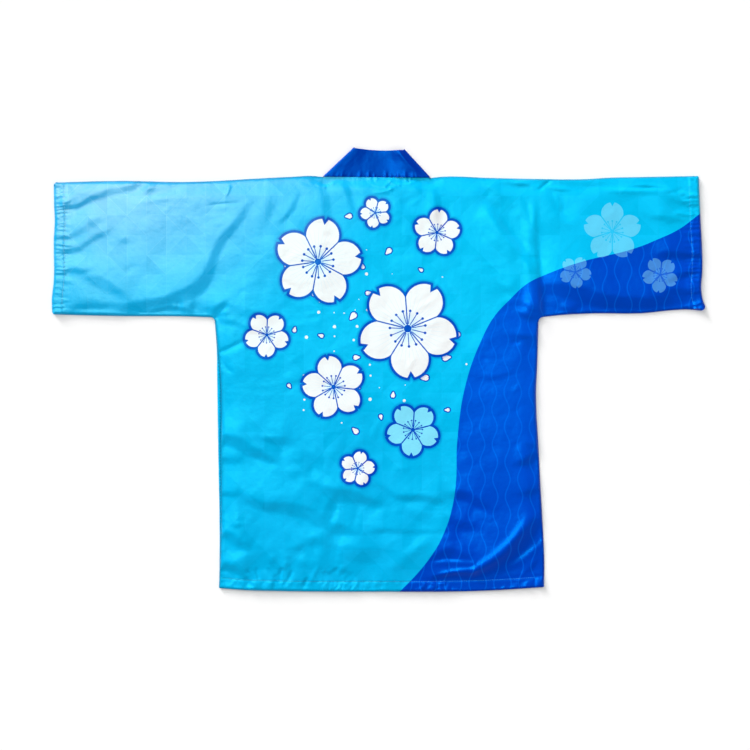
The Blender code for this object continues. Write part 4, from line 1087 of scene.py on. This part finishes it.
# what the cloth is printed with; lengths in millimetres
printed = {
    "paleBlue": dyed(0, 174, 240),        # left sleeve
    "brightCyan": dyed(0, 192, 244),
    "lakeBlue": dyed(0, 178, 234),        # lower left
    "deepBlue": dyed(0, 75, 209),
    "deepLow": dyed(0, 57, 190),          # right sleeve and lower right
    "deepLine": dyed(0, 112, 245),
    "white": dyed(242, 243, 244),
    "petalShade": dyed(196, 232, 250),
    "outlineBlue": dyed(0, 62, 190),
    "iceBlue": dyed(128, 222, 250),
    "reverse": dyed(176, 222, 240),
    # print of the mosaic's pale halves, laid on more strongly where the white sheen falls, as painted sheen
    "mosaicPale": dyed(130, 225, 255),
    "mosaicPitch": 37.7, "mosaicStart": (-482.4, 294.9),
    "wavePitch": 23.8, "waveSwing": 4.8, "waveLength": 66.6, "waveStart": (244.8, 22.5),
    "waveLine": 1.25, "waveShare": 0.36,
    "outlineWidth": 5.0, "glowWidth": 6.0, "glowShare": 0.55, "veilShare": 0.5,
    "blossomMargin": 13.0, "fullDetail": 86.0,     # blossoms smaller than this have finer ink
    # how much the inside shows its own paler colour, and how strongly the painted shade darkens
    "reverseShare": 0.82, "paintedShadeShare": 0.6,
}
# where the deep blue begins: x at some heights y
deepBlueFrom = ((-426, 41), (-355, 103), (-310, 127), (-266, 141), (-221, 148), (-136, 151),
                (-29, 167), (60, 199), (100, 221), (133, 251), (164, 285), (184, 327), (205, 386),
                (231, 489), (248, 533), (269, 577), (299, 618), (322, 660))
deepBlueRange = (-430.0, 330.0, 700.0)     # lowest y, highest y and greatest x of its curve
# blossoms: x, y, radius, turn in degrees, kind (1 white with an outline, 2 ice blue with an
# outline, 3 a pale veil without one)
blossoms = (
    (-116, 206, 86, 8, 1),
    (56, 78, 98, -14, 1),
    (-86, -34, 62, 30, 1),
    (112, 262, 46, 12, 1),
    (66, -116, 52, 50, 2),
    (-214, 66, 44, -20, 1),
    (-40, -190, 34, 5, 1),
    (-6, 300, 30, 40, 1),
    (448, 264, 58, 18, 3),
    (540, 181, 36, -25, 3),
    (377, 186, 32, 60, 3),
)
# one petal in blossom radii: its two rounded ends, and the notch in its tip
petal = {"base": 0.11, "tip": 0.365, "length": 0.60, "notchAt": 0.83, "notchSlopes": (0.5, 0.87)}
# loose petals and dots drift round the spray, one to a cell
scatter = {"middle": (-10, 60), "spread": (330, 330), "cell": 62.0, "share": 0.62,
           "dotCell": 24.0, "dotShare": 0.38}


# cyan, paler towards the left sleeve and deeper towards the lower left, with a mosaic of squares
# halved on a diagonal, each half a slightly different tint; gives the colour and the share of white sheen
def cyanGround(graph, x, y, lowness):
    leftness = x * 0.0014 - y * 0.0015
    high = 1.0 - lowness * 0.75
    ground = graph.mixColours(lowness, printed["brightCyan"], printed["lakeBlue"])
    ground = graph.mixColours(leftness.between(-0.05, -1.05) * high, ground, printed["paleBlue"])
    sheenShare = leftness.between(-0.35, -1.4) * high

    startX, startY = printed["mosaicStart"]
    cellX = (x - startX) / printed["mosaicPitch"]
    cellY = (y - startY) / printed["mosaicPitch"]
    column, row = cellX.math("FLOOR"), cellY.math("FLOOR")
    shareX, shareY = cellX.math("FRACT"), cellY.math("FRACT")
    across = (shareX < 0.035) * (graph.whiteNoise(column, row, 12.5) > 0.4)
    flip = graph.whiteNoise(column, row, 4.5) > 0.5
    shareX = shareX + (1.0 - 2.0 * shareX) * flip
    seam = ((shareX - shareY).math("ABSOLUTE") < 0.03) * (graph.whiteNoise(column, row, 9.5) > 0.45)
    half = shareX > shareY
    tint = graph.whiteNoise(column, row, half + 0.5)
    ground = graph.brightened(ground, 0.94 + 0.09 * tint)
    # the mosaic's pale halves and seams are print, laid on far more strongly where the white sheen falls,
    # which is painted sheen
    paler = (tint + 0.7 * (seam + across)) * (0.01 + 0.22 * sheenShare)
    return graph.mixColours(paler, ground, printed["mosaicPale"]), sheenShare


# deep blue beyond a sweeping edge, with waving pairs of lines; gives the colour and where it is
def deepGround(graph, x, y, lowness):
    lowest, highest, widest = deepBlueRange
    curve = graph.tree.nodes.new("ShaderNodeFloatCurve")
    line = curve.mapping.curves[0]
    rows = [((atY - lowest) / (highest - lowest), atX / widest) for atY, atX in deepBlueFrom]
    line.points[0].location = rows[0]
    line.points[1].location = rows[-1]
    for point in rows[1:-1]:
        line.points.new(*point)
    curve.mapping.update()
    curve.inputs["Factor"].default_value = 1.0
    graph.tree.links.new(((y - lowest) / (highest - lowest)).socket, curve.inputs["Value"])
    border = Value(graph, curve.outputs[0]) * widest
    deep = (x - border).between(-0.6, 0.6)

    waveX, waveY = printed["waveStart"]
    lane = (x + y * 0.012 - waveX) / printed["wavePitch"]
    nearest = (lane + 0.5).math("FLOOR")
    sign = 1.0 - 4.0 * (nearest * 0.5).math("FRACT")
    swing = ((y - waveY) * (2.0 * math.pi / printed["waveLength"])).math("COSINE") * printed["waveSwing"]
    offset = ((lane - nearest) * printed["wavePitch"] + sign * swing).math("ABSOLUTE")
    wave = offset.below(printed["waveLine"], 0.7)
    darker = lowness.math("MAXIMUM", x.between(310, 400) * 0.8)
    colour = graph.mixColours(darker, printed["deepBlue"], printed["deepLow"])
    return graph.mixColours(wave * printed["waveShare"], colour, printed["deepLine"]), deep


# the place inside the blossom that is near, in its radii, with its radius and its kind
def nearestBlossom(graph, plane):
    chosen = (9.0, 9.0, 50.0)              # far from every blossom
    kind = 0.0
    for centreX, centreY, radius, turn, which in blossoms:
        local = graph.node("ShaderNodeMapping", {"vector_type": "TEXTURE"},
                           {0: plane, 1: (centreX, centreY, -radius), 2: (0.0, 0.0, math.radians(turn)),
                            3: (radius, radius, 1.0)})
        reach = graph.lengthOf(graph.vectorMath("MULTIPLY", local, (1.0, 1.0, 0.0)))
        isNear = reach < 1.0 + printed["blossomMargin"] / radius
        chosen = graph.mixVectors(isNear, chosen, local)
        kind = isNear * (which - kind) + kind
    return (*graph.parts(chosen), kind)


# signed distance to one notched petal that points along +X, in blossom radii
def petalEdge(x, y):
    y = y.math("ABSOLUTE")
    base, tip, length = petal["base"], petal["tip"], petal["length"]
    lean = (tip - base) / length
    upright = math.sqrt(1.0 - lean * lean)
    along = x * upright + y * lean                     # a capsule that widens to its tip
    root = x.hypotenuse(y) - base
    nose = (x - length).hypotenuse(y) - tip
    flank = y * upright - x * lean - base
    edge = flank + (root - flank) * (along < 0.0)
    edge = edge + (nose - edge) * (along > length * upright)
    notch = (x - petal["notchAt"]) * petal["notchSlopes"][0] - y * petal["notchSlopes"][1]
    return edge.math("MAXIMUM", notch)


# lays the blossoms on a ground
def withBlossoms(graph, plane, ground, deep):
    u, v, size, kind = nearestBlossom(graph, plane)
    reach = u.hypotenuse(v)
    fifth = 2.0 * math.pi / 5.0
    angle = v.math("ARCTAN2", u)
    folded = ((angle / fifth + 0.5).math("FRACT") - 0.5) * fifth
    edge = petalEdge(reach * folded.math("COSINE"), reach * folded.math("SINE")) * size     # millimetres
    inPetal = edge.below(0.0, 0.35)
    outlined = (kind > 0.5) * (kind < 2.5)
    around = edge.below(printed["outlineWidth"], 0.5)
    glow = edge.between(printed["outlineWidth"] + printed["glowWidth"], printed["outlineWidth"] - 1.0)

    # ink: the gaps between petals, and three stamens in each petal round a dark centre
    gap = ((fifth / 2 - folded.math("ABSOLUTE")) * reach * size).below(1.2, 0.3)
    third = fifth / 3.0
    offStamen = ((angle / third + 0.5).math("FRACT") - 0.5).math("ABSOLUTE") * reach * third * size
    finer = (size / printed["fullDetail"]).math("MINIMUM", 1.0)
    stalk = (offStamen / finer).between(1.1, 0.6) * (reach < 0.33) * (reach > 0.09)
    anther = (((reach - 0.35) * size).hypotenuse(offStamen) / finer).below(2.6, 0.3)
    inked = gap.math("MAXIMUM", stalk).math("MAXIMUM", anther).math("MAXIMUM", reach < 0.075)

    veins = (folded * 21.0).math("SINE").math("ABSOLUTE").between(0.20, 0.08) * reach.between(0.85, 0.4)
    heart = reach.between(0.42, 0.05)
    shaded = graph.mixColours((heart * 0.9).math("MAXIMUM", veins * 0.55), printed["white"],
                              printed["petalShade"])
    shaded = graph.mixColours(kind > 1.5, shaded, printed["iceBlue"])
    shaded = graph.mixColours(inked, shaded, printed["outlineBlue"])
    colour = graph.mixColours(glow * outlined * printed["glowShare"], ground, printed["outlineBlue"])
    colour = graph.mixColours(around * outlined, colour, printed["outlineBlue"])
    colour = graph.mixColours(inPetal * outlined, colour, shaded)
    veil = inPetal * (kind > 2.5) * (1.0 - inked * 0.8)
    return graph.mixColours(veil * (printed["veilShare"] - deep * 0.22), colour, printed["iceBlue"])


# one thing to a cell, fewer away from the middle: the way to it, where it shows, two random values
def drifting(graph, plane, cell, share):
    scaled = graph.scaled(plane, 1.0 / cell)
    found = graph.outputs("ShaderNodeTexVoronoi", {"voronoi_dimensions": "2D"},
                          {"Vector": scaled, "Scale": 1.0, "Randomness": 0.75})
    _, chance, middle = found[:3]
    x, y, _ = graph.parts(middle)
    first, second, third = graph.parts(chance)
    farX = (x * cell - scatter["middle"][0]) / scatter["spread"][0]
    farY = (y * cell - scatter["middle"][1]) / scatter["spread"][1]
    shown = (farX * farX + farY * farY + first * 0.5) < share
    return graph.vectorMath("SUBTRACT", scaled, middle), shown, second, third


# lays the loose petals and the dots on a ground
def withLoosePetals(graph, plane, ground, deep):
    onCyan = 1.0 - deep
    off, shown, second, third = drifting(graph, plane, scatter["dotCell"], scatter["dotShare"])
    away = graph.lengthOf(off) * scatter["dotCell"]
    dot = (away - (0.6 + third * 2.6)).below(0.0, 0.3) * shown * (second > 0.45)
    colour = graph.mixColours(dot * onCyan, ground, printed["white"])
    off, shown, second, third = drifting(graph, plane, scatter["cell"], scatter["share"])
    turned = graph.node("ShaderNodeVectorRotate", {"rotation_type": "Z_AXIS"},
                        {0: off, "Angle": second * 6.28})
    x, y, _ = graph.parts(turned)
    size = 0.13 + third * 0.12
    edge = petalEdge(x / size + 0.5, y / size) * size * scatter["cell"]
    colour = graph.mixColours(edge.below(2.4, 0.4) * shown * onCyan, colour, printed["outlineBlue"])
    return graph.mixColours(edge.below(0.0, 0.35) * shown * onCyan, colour, printed["white"])


# the satin's shine is blue on the strong dyes, and nearly white on the pale one
def shine(level, red, green, blue):
    return {"Specular IOR Level": level, "Specular Tint": (red, green, blue, 1.0)}


# fine warp lines, slubs and small crinkles of satin; gives roughness and height
def satinSurface(graph, along, across):
    place = graph.joined(along, across, 0.0)
    slubs = graph.noise(graph.vectorMath("MULTIPLY", place, (0.05, 2.2, 1.0)), 1.0, 2.0, 0.55)
    crinkles = graph.noise(place, 0.085, 3.0)
    warp = (across * 9.0).math("SINE")
    return 0.27 + slubs * 0.05 + crinkles * 0.05, crinkles * 1.1 + slubs * 0.16 + warp * 0.012


# print on the satin, in the coat's own plane
def printedSatin():
    graph = MaterialGraph("printedSatin")
    plane = graph.vectorMath("MULTIPLY", graph.objectPlace(), (1000.0, 1000.0, 0.0))
    x, y, _ = graph.parts(plane)
    lowness = (y * 0.0042 + x * 0.0022).between(0.45, -1.1)
    cyanCloth, sheenShare = cyanGround(graph, x, y, lowness)
    deepCloth, deep = deepGround(graph, x, y, lowness)
    colour = graph.mixColours(deep, cyanCloth, deepCloth)
    colour = withLoosePetals(graph, plane, colour, deep)
    colour = withBlossoms(graph, plane, colour, deep)
    # the inside of the cloth is paler, with the print only faintly through it
    inside = graph.attribute("reverseSide")
    colour = graph.mixColours(inside * printed["reverseShare"], colour, printed["reverse"])
    # painted shade: darker at the edges, along the hem's stitching and beside the left side seam
    colour = graph.brightened(colour, 1.0 - printed["paintedShadeShare"] * graph.attribute("paintedEdgeShade"))
    roughness, height = satinSurface(graph, x, y)
    others = ((shine(0.3, 0.68, 0.70, 0.40), sheenShare), (shine(0.45, 0.0, 0.4, 1.0), deep))
    return graph.satin(shine(0.3, 0.02, 0.42, 0.4), colour, roughness + inside * 0.2, height, 0.35, others)


def collarSatin():
    graph = MaterialGraph("collarSatin")
    place = graph.scaled(graph.node("ShaderNodeUVMap", {"uv_map": "cloth"}, {}), 1000.0)
    along, across, _ = graph.parts(place)
    roughness, height = satinSurface(graph, along, across)
    colour = graph.mixColours(graph.noise(place, 0.03, 2.0), dyed(0, 40, 150), dyed(0, 48, 165))
    return graph.satin(shine(0.3, 0.0, 0.3, 1.0), colour, roughness, height, 0.35)


def sewingThread():
    graph = MaterialGraph("sewingThread")
    place = graph.objectPlace()
    twist = graph.node("ShaderNodeTexWave", {"wave_type": "BANDS", "bands_direction": "DIAGONAL"},
                       {"Vector": place, "Scale": 900.0, "Distortion": 0.5})
    colour = graph.mixColours(twist, dyed(44, 146, 224), dyed(84, 176, 238))
    # at the left cuff the thread is painted paler, a painted highlight that offsets the shade on its stitches
    paintedLightAtLeftCuff = graph.parts(place)[0].between(-0.45, -0.55)       # in metres, as its place is
    colour = graph.mixColours(paintedLightAtLeftCuff, colour, dyed(160, 228, 250))
    return graph.satin({"Specular IOR Level": 0.1}, colour, 0.5 + twist * 0.1, twist, 0.3)


# sewing thread along the hems
stitch = {"pitch": 3.3, "length": 2.7, "width": 0.55, "height": 0.45, "lift": 0.12, "frontLift": 0.05}


# dashes set along a line; its sizes are named inputs
def stitchTree(material):
    tree = bpy.data.node_groups.new("stitchesAlongLine", "GeometryNodeTree")
    tree.interface.new_socket("Line", in_out="INPUT", socket_type="NodeSocketGeometry")
    identifiers = {}
    for name in ("pitch", "length", "width", "height"):
        made = tree.interface.new_socket(name, in_out="INPUT", socket_type="NodeSocketFloat")
        identifiers[name] = made.identifier
    tree.interface.new_socket("Stitches", in_out="OUTPUT", socket_type="NodeSocketGeometry")

    def add(kind, settings, values):
        made = tree.nodes.new(kind)
        for setting, value in settings.items():
            setattr(made, setting, value)
        for key, value in values.items():
            if isinstance(value, bpy.types.NodeSocket):
                tree.links.new(value, made.inputs[key])
            else:
                made.inputs[key].default_value = value
        return made.outputs

    entry = tree.nodes.new("NodeGroupInput").outputs
    spaced = add("GeometryNodeCurveToPoints", {"mode": "LENGTH"},
                 {"Curve": entry["Line"], "Length": entry["pitch"]})
    ball = add("GeometryNodeMeshUVSphere", {}, {"Segments": 6, "Rings": 5, "Radius": 0.5})
    size = add("ShaderNodeCombineXYZ", {}, {0: entry["length"], 1: entry["width"], 2: entry["height"]})
    dash = add("GeometryNodeTransform", {}, {"Geometry": ball["Mesh"], "Scale": size["Vector"]})
    aim = add("FunctionNodeAlignRotationToVector", {"axis": "X"}, {"Vector": spaced["Tangent"]})
    placed = add("GeometryNodeInstanceOnPoints", {},
                 {"Points": spaced["Points"], "Instance": dash["Geometry"], "Rotation": aim["Rotation"]})
    real = add("GeometryNodeRealizeInstances", {}, {"Geometry": placed["Instances"]})
    smooth = add("GeometryNodeSetShadeSmooth", {}, {"Geometry": real["Geometry"]})
    done = add("GeometryNodeSetMaterial", {}, {"Geometry": smooth["Geometry"], "Material": material})
    add("NodeGroupOutput", {}, {0: done["Geometry"]})
    return tree, identifiers


def stitchLines():
    for name in openEdges:
        path = edgePoints(name, 2.0, cloth["hemDepth"])
        yield np.column_stack((path, backTop(path)[0] + stitch["lift"]))
    for name in ("leftCuff", "rightCuff", "leftFrontHem", "rightFrontHem"):
        path = edgePoints(name, 2.0, cloth["hemDepth"])
        yield np.column_stack((path, np.full(len(path), stitch["height"] / 2 + stitch["frontLift"])))


def makeStitches(material):
    curve = bpy.data.curves.new("stitchLines", "CURVE")
    curve.dimensions = "3D"
    for line in stitchLines():
        spline = curve.splines.new("POLY")
        spline.points.add(len(line) - 1)
        spline.points.foreach_set("co", np.column_stack((line * mm, np.ones(len(line)))).ravel())
    source = addObject("stitchLines", curve)
    tree, identifiers = stitchTree(material)
    modifier = source.modifiers.new("stitches", "NODES")
    modifier.node_group = tree
    for name, identifier in identifiers.items():
        modifier[identifier] = stitch[name] * mm
    seen = bpy.context.evaluated_depsgraph_get()
    mesh = bpy.data.meshes.new_from_object(source.evaluated_get(seen))
    mesh.name = "hem_stitches"
    bpy.data.objects.remove(source)
    print("hem_stitches:", len(mesh.polygons), "faces")
    return addObject("hem_stitches", mesh)


satin = printedSatin()
back = makeBack(satin)
frontLeft = makeFront("left", satin)
frontRight = makeFront("right", satin)
neckband = makeCollar(collarSatin())
stitches = makeStitches(sewingThread())

for piece, node, slot in ((back, "back", "printed_satin"), (frontLeft, "front_left", "printed_satin"),
                          (frontRight, "front_right", "printed_satin"), (neckband, "collar", "collar_satin")):
    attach(piece, "root")
    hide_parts(node)
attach(stitches, "root")
print("pieces set on the frame")

# floor, light and camera, in metres
studio = {
    "floorSize": 14.0, "floorWhites": (0.84, 0.86), "fill": 0.75,
    # a low sun for the wide faint shadow and a higher one: from, strength, softness in degrees
    "suns": {"lowKey": ((-0.58, 0.81, 0.267), 3.64, 18.0), "highKey": ((-0.58, 0.81, 0.70), 0.88, 30.0)},
    "sheenPower": 225.0, "sheenFrom": (-0.95, 1.05, 2.6), "sheenAim": (-0.4, 0.35, 0.0),
    "sheenSize": (1.45, 2.0),
    "cameraPlace": (-0.00672, -0.01094, 4.0), "lens": 100.0, "sensorWidth": 36.0,
}


def makeFloor():
    graph = MaterialGraph("studioFloor")
    grain = graph.noise(graph.objectPlace(), 3.0, 1.0, dimensions="3D")
    white, paler = ((level, level, level, 1.0) for level in studio["floorWhites"])
    colour = graph.mixColours(grain, white, paler)
    graph.satin({"Specular IOR Level": 0.0}, colour, 0.9 + grain * 0.05, grain, 0.0)
    half = studio["floorSize"] / 2
    mesh = bpy.data.meshes.new("floor")
    square = [(-half, -half, 0), (half, -half, 0), (half, half, 0), (-half, half, 0)]
    mesh.from_pydata(square, [], [(0, 1, 2, 3)])
    mesh.materials.append(graph.material)
    floor = addObject("floor", mesh)


def addLight(name, kind, place, aim):
    data = bpy.data.lights.new(name, kind)
    lamp = addObject(name, data)
    lamp.location = place
    lamp.rotation_euler = (Vector(aim) - Vector(place)).to_track_quat("-Z", "Y").to_euler()
    return lamp, data


makeFloor()
for name, (place, strength, softness) in studio["suns"].items():
    _, key = addLight(name, "SUN", place, (0.0, 0.0, 0.0))
    key.energy = strength
    key.angle = math.radians(softness)
lamp, sheen = addLight("sheenLight", "AREA", studio["sheenFrom"], studio["sheenAim"])
sheen.shape = "RECTANGLE"
sheen.size, sheen.size_y = studio["sheenSize"]
sheen.energy = studio["sheenPower"]
lamp.visible_diffuse = False               # it only shines on the satin
world = bpy.data.worlds.new("studio")
world.use_nodes = True
sky = world.node_tree.nodes["Background"].inputs
sky["Color"].default_value = (1.0, 1.0, 1.0, 1.0)
sky["Strength"].default_value = studio["fill"]
scene.world = world
scene.view_settings.view_transform = "Standard"

cameraData = bpy.data.cameras.new("camera")
cameraData.lens = studio["lens"]
cameraData.sensor_width = studio["sensorWidth"]
camera = addObject("camera", cameraData)
camera.location = studio["cameraPlace"]
scene.camera = camera
print("studio ready")
